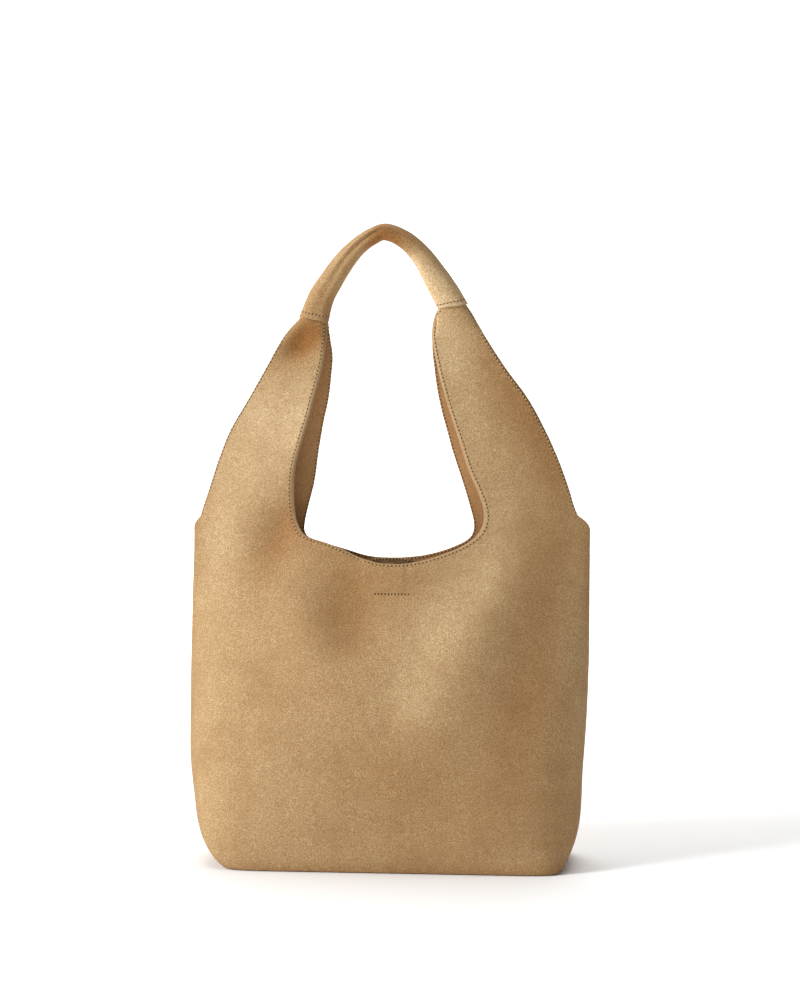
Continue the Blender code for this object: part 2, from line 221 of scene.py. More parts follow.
def spread_node(tree, value, low, high, bottom=0.0, top=1.0):
    """The value stretched from low..high to bottom..top, and clamped."""
    node = tree.nodes.new("ShaderNodeMapRange")
    node.interpolation_type = "SMOOTHSTEP"
    tree.links.new(value, node.inputs["Value"])
    ends = {"From Min": low, "From Max": high, "To Min": bottom, "To Max": top}
    for title, number in ends.items():
        node.inputs[title].default_value = number
    return node.outputs["Result"]


def math_node(tree, kind, a, b=0.0):
    """One step of arithmetic on numbers or sockets."""
    node = tree.nodes.new("ShaderNodeMath")
    node.operation = kind
    for socket, value in zip(node.inputs, (a, b)):
        if isinstance(value, (int, float)):
            socket.default_value = value
        else:
            tree.links.new(value, socket)
    return node.outputs["Value"]


def blend_node(tree, share, a, b, kind="MIX"):
    """Colour a mixed with, or multiplied by, colour b by the share."""
    node = tree.nodes.new("ShaderNodeMix")
    node.data_type, node.blend_type = "RGBA", kind
    for socket, value in ((node.inputs[0], share), (node.inputs[6], a), (node.inputs[7], b)):
        if isinstance(value, (int, float)):
            socket.default_value = value
        elif isinstance(value, tuple):
            socket.default_value = (*value, 1)
        else:
            tree.links.new(value, socket)
    return node.outputs[2]


print("node helpers ready")

# %% Suede nap
FLOAT, COLOR = "NodeSocketFloat", "NodeSocketColor"
SURFACE = [("Color", COLOR), ("Roughness", FLOAT), ("Height", FLOAT)]
nap, nap_in, nap_out = new_group(
    "suede_nap",
    [("Face", COLOR, (0.5, 0.3, 0.15, 1)), ("Deep", COLOR, (0.3, 0.16, 0.07, 1)),
     ("Pale", COLOR, (0.6, 0.4, 0.25, 1)), ("Clouds", FLOAT, 1.0),
     ("Grain size", FLOAT, 980.0), ("Grain", FLOAT, 1.0)],
    SURFACE,
)
face, deep, pale, clouds, grain_size, grain = nap_in.outputs[:6]
place = nap.nodes.new("ShaderNodeTexCoord").outputs["Object"]
broad = spread_node(nap, noise_node(nap, place, 9.0, 2.0, 0.5, 0.4), 0.44, 0.72)
middling = spread_node(nap, noise_node(nap, place, 34.0, 3.0, 0.6, 0.3), 0.42, 0.72)
small = noise_node(nap, place, 105.0, 2.0, 0.45)
pebble = noise_node(nap, place, grain_size, 2.5, 0.55)
fibre = noise_node(nap, place, math_node(nap, "MULTIPLY", grain_size, 2.6), 2.0, 0.6)
broad_share = math_node(nap, "MULTIPLY", broad, 0.38)
deep_share = math_node(nap, "ADD", broad_share, math_node(nap, "MULTIPLY", middling, 0.27))
deep_share = math_node(nap, "MULTIPLY", deep_share, clouds)
tone = blend_node(nap, deep_share, face, deep)
lifted = math_node(nap, "MULTIPLY", spread_node(nap, small, 0.45, 0.75, 0.0, 0.14), clouds)
tone = blend_node(nap, lifted, tone, pale)
flecks = math_node(nap, "MULTIPLY", spread_node(nap, pebble, 0.44, 0.59, 0.74, 0.0), grain)
tone = blend_node(nap, flecks, tone, deep)
tips = math_node(nap, "MULTIPLY", spread_node(nap, fibre, 0.5, 0.68, 0.0, 0.55), grain)
tone = blend_node(nap, tips, tone, pale)
pebble_height = math_node(nap, "MULTIPLY", pebble, 0.7)
height = math_node(nap, "ADD", pebble_height, math_node(nap, "MULTIPLY", fibre, 0.3))
nap.links.new(tone, nap_out.inputs["Color"])
nap.links.new(spread_node(nap, small, 0.3, 0.7, 0.82, 0.96), nap_out.inputs["Roughness"])
nap.links.new(height, nap_out.inputs["Height"])
print("suede nap:", len(nap.nodes), "nodes")

# %% [markdown]
# Cloth, tape and thread are woven or spun. A second group crosses two waves,
# one for each set of threads, and lets them pass over and under. A third
# wears metal: its high places are rubbed bright, its low ones stay dull.

# %% Weave and worn metal
weave, weave_in, weave_out = new_group(
    "plain_weave",
    [("Thread", COLOR, (0.5, 0.4, 0.3, 1)), ("Shade", COLOR, (0.3, 0.2, 0.1, 1)),
     ("Threads per metre", FLOAT, 1400.0)],
    SURFACE,
)
strand, shade, count = weave_in.outputs[:3]
spot = weave.nodes.new("ShaderNodeTexCoord").outputs["Object"]
split = weave.nodes.new("ShaderNodeSeparateXYZ")
weave.links.new(spot, split.inputs[0])
turns = math_node(weave, "MULTIPLY", count, math.pi)
warp_wave = math_node(weave, "SINE", math_node(weave, "MULTIPLY", split.outputs["X"], turns))
weft_wave = math_node(weave, "SINE", math_node(weave, "MULTIPLY", split.outputs["Z"], turns))
half_warp = math_node(weave, "MULTIPLY", warp_wave, 0.5)
half_weft = math_node(weave, "MULTIPLY", weft_wave, 0.5)
crossing = math_node(weave, "ABSOLUTE", math_node(weave, "ADD", half_warp, half_weft))
slubs = noise_node(weave, spot, 220.0, 3.0, 0.6)
cloth_tone = blend_node(weave, spread_node(weave, crossing, 0.0, 0.8, 0.75, 0.0), strand, shade)
slub_share = spread_node(weave, slubs, 0.45, 0.7, 0.0, 0.3)
cloth_tone = blend_node(weave, slub_share, cloth_tone, shade)
weave.links.new(cloth_tone, weave_out.inputs["Color"])
weave.links.new(spread_node(weave, slubs, 0.3, 0.7, 0.72, 0.92), weave_out.inputs["Roughness"])
weave.links.new(crossing, weave_out.inputs["Height"])

worn, worn_in, worn_out = new_group(
    "worn_metal",
    [("Bright", COLOR, (0.6, 0.5, 0.3, 1)), ("Dull", COLOR, (0.25, 0.17, 0.08, 1)),
     ("Wear", FLOAT, 0.6)],
    SURFACE,
)
bright, dull, wear = worn_in.outputs[:3]
spot = worn.nodes.new("ShaderNodeTexCoord").outputs["Object"]
patches = noise_node(worn, spot, 240.0, 4.0, 0.6)
scratches = noise_node(worn, spot, 1600.0, 3.0, 0.7, 1.5)
rubbed = math_node(worn, "MULTIPLY", spread_node(worn, patches, 0.35, 0.65), wear)
polish = spread_node(worn, patches, 0.35, 0.7, 0.2, -0.02)
dullness = math_node(worn, "ADD", polish, spread_node(worn, scratches, 0.3, 0.7, 0.24, 0.34))
worn.links.new(blend_node(worn, rubbed, dull, bright), worn_out.inputs["Color"])
worn.links.new(dullness, worn_out.inputs["Roughness"])
worn.links.new(scratches, worn_out.inputs["Height"])
print("weave:", len(weave.nodes), "nodes; worn metal:", len(worn.nodes), "nodes")

# %% Materials
def finish_of(name, group, bump, values, metallic=0.0, sheen=0.0, sheen_tint=(1, 1, 1),
              specular=0.5, pressed_and_shade_tint=None, brushed_and_highlight_tint=None):
    """A material whose colour, roughness and height come from a group. With the pressed and brushed
    tints, the piece's own nap value brings them in: they paint shade and highlight as well as the
    nap's deeper and paler tone."""
    material = bpy.data.materials.new(name)
    material.use_nodes = True
    tree = material.node_tree
    shader = tree.nodes["Principled BSDF"]
    source = tree.nodes.new("ShaderNodeGroup")
    source.node_tree = group
    for title, value in values.items():
        source.inputs[title].default_value = (*value, 1) if isinstance(value, tuple) else value
    tone = source.outputs["Color"]
    if pressed_and_shade_tint:
        # the nap attribute holds painted shade and painted highlight as well as the nap's tone: its
        # positive part brings in the pressed tint, which paints shade, and its negative part the
        # brushed tint, which paints highlight
        nap_and_shading = tree.nodes.new("ShaderNodeAttribute")
        nap_and_shading.attribute_name = "nap"
        pressed_and_shaded_share = math_node(tree, "MAXIMUM", nap_and_shading.outputs["Fac"])
        up = math_node(tree, "MAXIMUM", math_node(tree, "MULTIPLY", nap_and_shading.outputs["Fac"], -1.0))
        tone = blend_node(tree, pressed_and_shaded_share, tone, pressed_and_shade_tint, "MULTIPLY")
        tone = blend_node(tree, up, tone, brushed_and_highlight_tint, "MULTIPLY")
    tree.links.new(tone, shader.inputs["Base Color"])
    tree.links.new(source.outputs["Roughness"], shader.inputs["Roughness"])
    relief = tree.nodes.new("ShaderNodeBump")
    relief.inputs["Strength"].default_value = 0.8
    relief.inputs["Distance"].default_value = bump
    tree.links.new(source.outputs["Height"], relief.inputs["Height"])
    tree.links.new(relief.outputs["Normal"], shader.inputs["Normal"])
    shader.inputs["Metallic"].default_value = metallic
    shader.inputs["Sheen Weight"].default_value = sheen
    shader.inputs["Sheen Roughness"].default_value = 0.45
    shader.inputs["Sheen Tint"].default_value = (*sheen_tint, 1)
    shader.inputs["Specular IOR Level"].default_value = specular
    return material


def dyed(face, deep, pale, clouds=1.0, grain_size=980.0):
    """What the suede group needs: its three colours, clouds and grain."""
    return {"Face": face, "Deep": deep, "Pale": pale, "Clouds": clouds,
            "Grain size": grain_size}


def woven(strand, shade, count):
    """What the weave group needs, with its threads per metre."""
    return {"Thread": strand, "Shade": shade, "Threads per metre": count}


def aged(bright, dull, wear):
    """What the worn metal group needs."""
    return {"Bright": bright, "Dull": dull, "Wear": wear}


suede = finish_of(
    "suede_face", nap, 0.0007,
    dyed((0.555, 0.380, 0.192), (0.295, 0.150, 0.050), (0.75, 0.565, 0.34)),
    sheen=0.12, sheen_tint=(1, 0.86, 0.66), specular=0.15,
    # the pressed tint paints shade and the brushed tint paints highlight, on top of the nap's own
    # deeper and paler tone
    pressed_and_shade_tint=(0.62, 0.43, 0.26), brushed_and_highlight_tint=(1.43, 1.58, 1.84),
)
flesh = finish_of(
    "suede_flesh_side", nap, 0.0006,
    dyed((0.54, 0.305, 0.135), (0.36, 0.17, 0.06), (0.66, 0.43, 0.23), clouds=1.2),
    sheen=0.08, specular=0.1,
)
raw = finish_of(
    "cut_edge", nap, 0.0004,
    dyed((0.50, 0.335, 0.175), (0.30, 0.18, 0.085), (0.62, 0.45, 0.27), grain_size=1500.0),
    specular=0.15,
)
facing = finish_of(
    "facing_suede", nap, 0.0004,
    dyed((0.33, 0.205, 0.10), (0.17, 0.095, 0.04), (0.45, 0.30, 0.17), grain_size=700.0),
    sheen=0.1, specular=0.15,
)
thread = finish_of(
    "sewing_thread", weave, 0.0002, woven((0.60, 0.44, 0.25), (0.38, 0.25, 0.12), 3600.0),
    sheen=0.1, specular=0.3,
)
# dark discs of painted shade where the needle holes and the tooled dents are
painted_pit_shade = finish_of(
    "painted_pit_shade", nap, 0.0002,
    dyed((0.07, 0.034, 0.014), (0.03, 0.015, 0.006), (0.11, 0.06, 0.025), grain_size=1500.0),
    specular=0.05,
)
pocket_cloth = finish_of(
    "pocket_cloth", weave, 0.0003, woven((0.36, 0.255, 0.15), (0.19, 0.125, 0.065), 1300.0),
    sheen=0.1, specular=0.2,
)
tape_cloth = finish_of(
    "zip_tape", weave, 0.0003, woven((0.30, 0.205, 0.11), (0.15, 0.095, 0.045), 1900.0),
    sheen=0.1, specular=0.25,
)
board = finish_of(
    "base_board", nap, 0.0003,
    dyed((0.20, 0.15, 0.10), (0.11, 0.08, 0.05), (0.32, 0.26, 0.19), grain_size=900.0),
    specular=0.3,
)
cord_cotton = finish_of(
    "core_cord", weave, 0.0005, woven((0.55, 0.48, 0.37), (0.36, 0.30, 0.21), 700.0),
    specular=0.2,
)
nylon = finish_of(
    "coil_nylon", worn, 0.0001, aged((0.34, 0.235, 0.125), (0.24, 0.16, 0.08), 0.8),
)
brass = finish_of(
    "aged_brass", worn, 0.00006, aged((0.74, 0.56, 0.29), (0.34, 0.225, 0.095), 0.85),
    metallic=1.0,
)
steel = finish_of(
    "washer_steel", worn, 0.00006, aged((0.62, 0.61, 0.58), (0.33, 0.32, 0.30), 0.8),
    metallic=1.0,
)
print("materials:", len([m for m in bpy.data.materials if m.use_nodes]))

# %% [markdown]
# ## The bag's form
#
# A pattern-maker thinks of a soft bag as sections by height: how far each
# side seam stands from the middle, how deep the bag is, and how boxy or how
# pointed the section is. These tables hold that, in millimetres, with the
# bag standing empty on its base and leaning a little, as soft hide does.

# %% Sections by height
HIDE = 1.8  # the suede's thickness
GAP = 0.3  # between the two panels where they meet
# each row is a height and the value there
LEFT_SEAM = [
    (0, 150), (4, 156), (10, 162.5), (20, 170), (32, 175.5), (60, 181), (108, 185.5), (170, 185),
    (238, 183), (303, 181), (520, 181),
]
RIGHT_SEAM = [
    (0, 152.5), (5, 156.5), (14, 161.5), (25, 166), (40, 169.5), (86, 172), (132, 175), (205, 177),
    (305, 177), (520, 177),
]
HALF_DEPTH = [
    (0, 55), (20, 57), (60, 59), (110, 57), (160, 51), (210, 41), (250, 30), (276, 25.5),
    (300, 23.5), (340, 20.5), (380, 17.5), (420, 14), (450, 11.4), (470, 9.6), (480, 9.0),
    (520, 8.8),
]
# how boxy the section is: first the power of its spread, then of its corners
SPREAD = [(0, 14.0), (12, 7.5), (40, 4.2), (110, 2.9), (200, 2.3), (300, 2.0), (520, 2.0)]
ROUND = [(0, 0.11), (12, 0.15), (40, 0.25), (110, 0.42), (200, 0.62), (300, 0.85), (520, 0.85)]
# how much of the half width the hide takes up at the seam
SEAM_WALL = [(0, HIDE), (60, 2.0), (150, 3.2), (230, 5.0), (300, 6.5), (520, 6.5)]
# the line, x and z, about which the ears bend
FOLD_LEFT, FOLD_RIGHT = (-71.5, 480.5), (53.5, 493.0)
FOLD_SLOPE = (FOLD_RIGHT[1] - FOLD_LEFT[1]) / (FOLD_RIGHT[0] - FOLD_LEFT[0])


def along(table, at):
    """A smooth value through a table of (position, value) rows."""
    at = np.asarray(at, float)
    x = np.array([row[0] for row in table], float)
    y = np.array([row[1] for row in table], float)
    secant = np.diff(y) / np.diff(x)
    slope = np.concatenate([secant[:1], (secant[:-1] + secant[1:]) / 2, secant[-1:]])
    flat = np.concatenate([[False], secant[:-1] * secant[1:] <= 0, [False]])
    slope[flat] = 0
    i = np.clip(np.searchsorted(x, at) - 1, 0, len(x) - 2)
    h = x[i + 1] - x[i]
    t = np.clip((at - x[i]) / h, 0, 1)
    return (
        (2 * t**3 - 3 * t**2 + 1) * y[i]
        + (t**3 - 2 * t**2 + t) * h * slope[i]
        + (3 * t**2 - 2 * t**3) * y[i + 1]
        + (t**3 - t**2) * h * slope[i + 1]
    )


def smooth_path(points, steps):
    """The points joined by a smooth curve, with this many steps to a span."""
    points = np.asarray(points, float)
    ends = np.vstack([2 * points[0] - points[1], points, 2 * points[-1] - points[-2]])
    out = []
    for a, b, c, d in zip(ends, ends[1:], ends[2:], ends[3:]):
        for t in np.arange(steps) / steps:
            square = (2 * a - 5 * b + 4 * c - d) * t**2
            cube = (3 * b - a - 3 * c + d) * t**3
            out.append(0.5 * (2 * b + (c - a) * t + square + cube))
    return np.array(out + [points[-1]])


at_200 = [float(along(table, 200).round(1)) for table in (LEFT_SEAM, RIGHT_SEAM, HALF_DEPTH)]
print("section at 200 mm up:", at_200)

# %% [markdown]
# Soft hide is never an even surface. Each fold here is a long soft swelling
# or hollow: where it is, how long and wide, how it leans, and how far it
# stands out. Adding a few of them gives the drape that a simulation would
# find, but in the places that this bag has them.

# %% Folds
# centre x, z, half length, half width, lean from upright in degrees, height
FRONT_FOLDS = [
    (-103, 303, 46, 20, -27, -6.0), (-76, 226, 58, 24, 30, 4.0), (-36, 236, 46, 28, -4, -4.5),
    (73, 206, 76, 32, -32, 7.0), (126, 160, 92, 38, -30, -5.0), (-22, 168, 26, 50, 62, 2.0),
    (10, 100, 50, 60, 0, 2.0), (-84, 469, 18, 11, -43, -5.5), (-92, 443, 20, 12, -60, 2.0),
]
BACK_FOLDS = [
    (-70, 205, 60, 24, 18, -3.0), (40, 200, 60, 22, -20, -3.5), (88, 250, 50, 18, -30, 3.0),
    (-5, 120, 60, 70, 0, 2.0),
]


def ease(value, start, end):
    """0 before the start, 1 past the end, and smooth between."""
    t = np.clip((value - start) / (end - start), 0, 1)
    return t * t * (3 - 2 * t)


def drape(x, z, folds):
    """How far the folds push the hide out at each place."""
    out = np.zeros(np.broadcast(x, z).shape)
    for cx, cz, length, width, lean, height in folds:
        a = math.radians(lean)
        up = -(x - cx) * math.sin(a) + (z - cz) * math.cos(a)
        side = (x - cx) * math.cos(a) + (z - cz) * math.sin(a)
        out = out + height * np.exp(-((up / length) ** 2) - (side / width) ** 2)
    return out


PRESS_X, PRESS_Z, PRESS_HEIGHT = (-26.5, 14), (246.5, 280), 0.55
PRESS_EDGE, PRESS_TOP_EDGE = 3.5, 4  # how softly its sides and its top fade


def snap_press(x, z):
    """The faint raised outline of the snap's patch, which is sewn inside."""
    across = ease(x, PRESS_X[0], PRESS_X[0] + PRESS_EDGE)
    across *= 1 - ease(x, PRESS_X[1] - PRESS_EDGE, PRESS_X[1])
    upward = ease(z, PRESS_Z[0], PRESS_Z[0] + PRESS_EDGE)
    downward = 1 - ease(z, PRESS_Z[1] - PRESS_TOP_EDGE, PRESS_Z[1])
    return PRESS_HEIGHT * across * downward * upward


def above_fold_line(x, z):
    """Height of a point over the line where the ears bend under the handle."""
    return (z - FOLD_LEFT[1] - FOLD_SLOPE * (x - FOLD_LEFT[0])) / math.hypot(1, FOLD_SLOPE)


# each ear: height, the middle's x, and the half width
EAR_LEFT = [
    (440, -88, 31), (470, -82.5, 21.5), (492, -72.5, 12.6), (512, -65.5, 11.0), (530, -60, 11.0),
]
EAR_RIGHT = [(440, 76, 31), (470, 61, 23), (504, 53, 13.6), (522, 45, 12.0), (530, 42, 12.0)]
# how an ear's depth falls off from its middle, and how domed it is
EAR_FALL, EAR_DOME = 2.5, 0.4


def across_ear(x, z):
    """1 along the middle of an ear and 0 at its two edges."""
    shares = []
    for table in (EAR_LEFT, EAR_RIGHT):
        heights, middles, halves = zip(*table)
        middle, half = np.interp(z, heights, middles), np.interp(z, heights, halves)
        shares.append(np.clip(1 - np.abs((x - middle) / half) ** EAR_FALL, 0, 1) ** EAR_DOME)
    return np.where(np.asarray(x) < 0, shares[0], shares[1])


FADE = 3  # folds die out at the seams by this power
TUCK, TUCK_FROM, TUCK_TO = 0.2, -8, 8  # the ears close up under the handle
PINCH_FROM, PINCH_TO = -22, 13  # and their edges are pinched together


def wall(u, z, side, inset=0.0):
    """Points of the bag's wall in millimetres. u runs -1 to 1 from seam to
    seam, side is -1 for the front and 1 for the back, inset is the depth
    below the hide's face."""
    left, right = along(LEFT_SEAM, z), along(RIGHT_SEAM, z)
    middle, half = (right - left) / 2, (right + left) / 2
    reach = inset / HIDE * along(SEAM_WALL, z)
    x = middle + u * (half - reach)
    swell = np.clip(1 - np.abs(u) ** along(SPREAD, z), 0, 1) ** along(ROUND, z)
    folds = drape(x, z, FRONT_FOLDS if side < 0 else BACK_FOLDS)
    if side < 0:
        folds = folds + snap_press(x, z)
    fade = np.clip(1 - np.abs(u) ** FADE, 0, 1)
    rise = above_fold_line(x, z)
    tuck = 1 - TUCK * ease(rise, TUCK_FROM, TUCK_TO)
    pinch = 1 - ease(rise, PINCH_FROM, PINCH_TO) * (1 - across_ear(x, z))
    depth = (along(HALF_DEPTH, z) * tuck - inset) * swell + folds * fade
    y = side * (GAP / 2 + depth * pinch)
    return np.stack(np.broadcast_arrays(x, y, z), axis=-1)


def across_wall(x, z):
    """The u at which the wall has this x."""
    left, right = along(LEFT_SEAM, z), along(RIGHT_SEAM, z)
    return (x - (right - left) / 2) / ((right + left) / 2)


print("front of the bag at the middle of the mouth:", wall(0.0, 276.0, -1).round(1))

# %% [markdown]
# ## The two big pieces of suede
#
# Front and back are each cut in one piece, ears included. The outline has
# two sides: the inner edge runs round the mouth and up the ears, the outer
# edge runs along the base, up the side seam and round the armhole. A mesh
# that runs from the one edge to the other has clean rows beside every cut
# edge, which a Boolean would not leave, so the stitches and the thickness of
# the hide sit well.

# %% Outlines
NOTCH_LEFT = [
    (-181, 303.5), (-177, 309), (-173.5, 320), (-167, 339), (-158, 366), (-147, 393), (-131, 420),
    (-115, 448), (-100, 475), (-91.5, 486), (-86.5, 491), (-83.2, 495.5), (-78.3, 503.5),
    (-74, 513),
]
NOTCH_RIGHT = [
    (176, 304.5), (170, 311), (163.5, 324), (158, 342), (148, 369), (136, 395), (121, 422),
    (101, 449), (84, 475), (76, 489), (70.5, 499), (66, 505), (61, 513), (56, 522),
]
MOUTH_FRONT = [
    (-57, 515), (-60, 503), (-60.5, 492), (-61.5, 471), (-65, 449), (-71, 427), (-77, 405),
    (-84, 382), (-89, 364), (-91, 346), (-91, 328), (-89, 314), (-84, 303), (-76, 298), (-62, 294),
    (-46, 288.5), (-30, 281), (-12, 276), (8, 275.5), (26, 278), (44, 283), (62, 290), (75, 298),
    (82, 306), (85, 316), (84, 327), (79, 341), (70, 361), (61, 388), (52, 414), (44, 441),
    (38, 466), (36, 481), (38, 495), (42, 505), (38, 522),
]
MOUTH_BACK = [
    (-57, 515), (-60, 503), (-60.5, 492), (-58.5, 473), (-57, 458), (-58.5, 441), (-61.5, 419),
    (-66, 400), (-71, 373), (-75, 346), (-80, 327), (-84, 311), (-85, 300), (-80, 293), (-68, 289),
    (-48, 283), (-28, 277), (-12, 275), (6, 275), (24, 277), (41, 281), (55, 286), (67, 292),
    (73, 299), (74, 309), (71, 321), (66, 338), (60, 356), (54, 374), (49, 392), (44, 410),
    (40, 429), (37, 451), (35.5, 466), (36, 480), (38, 495), (42, 505), (38, 522),
]
SOLE = 0.4  # height of the row of points along the base


def length_along(points):
    """How far along the path each of its points is."""
    steps = np.linalg.norm(np.diff(points, axis=0), axis=1)
    return np.concatenate([[0], np.cumsum(steps)])


def resampled(points, shares):
    """Points at these shares of a path's length."""
    points = np.asarray(points, float)
    run = length_along(points)
    at = np.asarray(shares) * run[-1]
    return np.stack([np.interp(at, run, column) for column in points.T], axis=1)


def fan(points):
    """(x, z) to (q, z), where q opens out the crowding at the side seams."""
    points = np.asarray(points, float)
    u = np.clip(across_wall(points[:, 0], points[:, 1]), -1, 1)
    return np.stack([np.arcsin(u) * 2 / math.pi, points[:, 1]], axis=1)


# how many columns of points run up each half, and along which edges
COLUMNS, MOUTH_COLUMNS, BASE_COLUMNS, SEAM_COLUMNS = 190, 116, 70, 60
MOUTH_CORNER_Z, SEAM_TOP = 304, 296
SAMPLES, MIDDLE_ROWS, MIDDLE_CROWD = 220, 60, 1.3
# rows beside a cut edge, in millimetres from it, drawn in where hide is narrow
NEAR_EDGE = np.array([0, 0.25, 0.6, 1.1, 1.7, 2.3, 2.9, 3.8, 5.5])
NARROW = 20


def half_grid(mouth, notch, side):
    """(q, z) rows from the inner edge to the outer edge of one half."""
    mouth = smooth_path(mouth, 10)
    notch = smooth_path(notch, 10)
    way = -1.0 if notch[0, 0] < 0 else 1.0
    corner = np.argmin(np.abs(mouth[:, 1] - MOUTH_CORNER_Z))
    inner = fan(np.vstack([
        resampled(mouth[: corner + 1], np.linspace(0, 1, MOUTH_COLUMNS)),
        resampled(mouth[corner:], np.linspace(0, 1, COLUMNS - MOUTH_COLUMNS + 1))[1:],
    ]))
    start = inner[0, 0]
    base_q = np.linspace(start, way, BASE_COLUMNS)
    base = np.stack([base_q, np.full(BASE_COLUMNS, SOLE)], axis=1)
    seam_z = np.linspace(SOLE, SEAM_TOP, SEAM_COLUMNS + 1)[1:]
    seam = np.stack([np.full(SEAM_COLUMNS, way), seam_z], axis=1)
    below = BASE_COLUMNS + SEAM_COLUMNS
    outer = np.vstack([base, seam, fan(resampled(notch, np.linspace(0, 1, COLUMNS - below)))])
    outer[below, 0] = way
    rows = []
    for a, b in zip(inner, outer):
        t = np.linspace(0, 1, SAMPLES)
        q = a[0] + (b[0] - a[0]) * t
        z = a[1] + (b[1] - a[1]) * t
        run = length_along(wall(np.sin(q * math.pi / 2), z, side))
        total = run[-1]
        ends = NEAR_EDGE * min(1.0, total / NARROW)
        shares = np.linspace(0, 1, MIDDLE_ROWS + 2)[1:-1] ** MIDDLE_CROWD
        middle = ends[-1] + (total - 2 * ends[-1]) * shares
        wanted = np.concatenate([ends, middle, total - ends[::-1]])
        t = np.interp(wanted, run, t)
        rows.append(np.stack([a[0] + (b[0] - a[0]) * t, a[1] + (b[1] - a[1]) * t], axis=1))
    return np.array(rows)


MOUTH_MIDDLE_X, MOUTH_LOW_Z = -2, 290


def panel_grid(mouth, side):
    """The rows of a whole panel, split under the middle of its mouth."""
    low_points = [k for k, (x, z) in enumerate(mouth) if z <= MOUTH_LOW_Z]
    middle = min(low_points, key=lambda k: abs(mouth[k][0] - MOUTH_MIDDLE_X))
    left = half_grid(mouth[: middle + 1][::-1], NOTCH_LEFT, side)
    right = half_grid(mouth[middle:], NOTCH_RIGHT, side)
    return np.concatenate([left[::-1], right[1:]])


front_grid = panel_grid(MOUTH_FRONT, -1)
back_grid = panel_grid(MOUTH_BACK, 1)
print("front grid:", front_grid.shape[:2], "back grid:", back_grid.shape[:2])

# %% [markdown]
# Both faces of the hide come from the same rows, the inner one sunk by the
# hide's thickness. The first rows beside a cut edge are rounded over a
# little, and the row where the needle pulls the thread in is pressed down.

# %% Panels
EDGE_ROLL = [0.5, 0.16, 0.03, 0.04, 0.12, 0.04, 0, 0, 0]
STITCH_ROW = 4  # the row that lies 1.7 mm from the cut edge
STITCH_PRESS = 0.12  # how deep the thread lies, which leaves the inner side flat
INNER_ROLL, THINNEST = 0.6, 0.9
BASE_TURN = 1.6  # radius of the hide's turn into the base
AT_SEAM = 0.999  # from here on a point of the outline counts as on the seam


def new_piece(name, points, faces, materials, which=None):
    """An object from points in millimetres. Which says each face's material."""
    mesh = bpy.data.meshes.new(name)
    mesh.from_pydata((np.asarray(points).reshape(-1, 3) * MM).tolist(), [], faces)
    for material in materials:
        mesh.materials.append(material)
    if which is not None:
        mesh.polygons.foreach_set("material_index", np.array(which, np.int32))
    obj = bpy.data.objects.new(name, mesh)
    scene.collection.objects.link(obj)
    return obj


def shell(name, face, back, slots):
    """A closed mesh between two grids of points, in millimetres. Its faces
    take material 0, its inner side 1 and its cut edges 2."""
    rows, columns = face.shape[:2]
    index = np.arange(rows * columns).reshape(rows, columns)
    low = rows * columns
    a, b = index[:-1, :-1].ravel(), index[:-1, 1:].ravel()
    c, d = index[1:, 1:].ravel(), index[1:, :-1].ravel()
    rim = np.concatenate([index[0], index[1:, -1], index[-1, -2::-1], index[-2:0:-1, 0]])
    after = np.roll(rim, -1)
    quads = np.vstack([
        np.stack([a, b, c, d], 1), np.stack([d, c, b, a], 1) + low,
        np.stack([after, rim, rim + low, after + low], 1),
    ])
    which = np.repeat([0, 1, 2], [len(a), len(a), len(rim)])
    obj = new_piece(name, np.stack([face, back]), quads.tolist(), slots, which)
    work = bmesh.new()
    work.from_mesh(obj.data)
    if work.calc_volume(signed=True) < 0:
        bmesh.ops.reverse_faces(work, faces=work.faces)
    work.to_mesh(obj.data)
    work.free()
    take(obj)
    bpy.ops.object.shade_smooth_by_angle(angle=math.radians(40))
    return obj


def panel_points(grid, side):
    """The face and the inner side of a panel, as grids of points."""
    q, z = grid[..., 0], grid[..., 1]
    u = np.sin(q * math.pi / 2)
    roll = np.zeros(q.shape)
    roll[:, : len(EDGE_ROLL)] += np.array(EDGE_ROLL)
    free = np.abs(q[:, -1]) < AT_SEAM
    roll[free, -len(EDGE_ROLL):] += np.array(EDGE_ROLL[::-1])
    turn = np.clip(BASE_TURN - (z - SOLE), 0, BASE_TURN)
    under = BASE_TURN - np.sqrt(np.clip(BASE_TURN**2 - turn**2, 0, None))
    thick = np.maximum(HIDE - INNER_ROLL * roll * (roll > STITCH_PRESS), THINNEST)
    return wall(u, z, side, roll + under), wall(u, z, side, thick + under)


front_points, back_points = panel_points(front_grid, -1), panel_points(back_grid, 1)
front_panel = shell("front_suede", *front_points, [suede, flesh, raw])
back_panel = shell("back_suede", *back_points, [suede, flesh, raw])
print("front suede:", len(front_panel.data.polygons), "faces")

# %% [markdown]
# The suede is made deeper near the base and along the seams. In the hollows, where the ears are
# gathered and on the side turned from the window light, it is made deeper as pressed nap and
# painted shade; along ridges and edges it is made paler as brushed nap and painted highlight. A
# value kept on each point says how much, and the suede's material reads it.

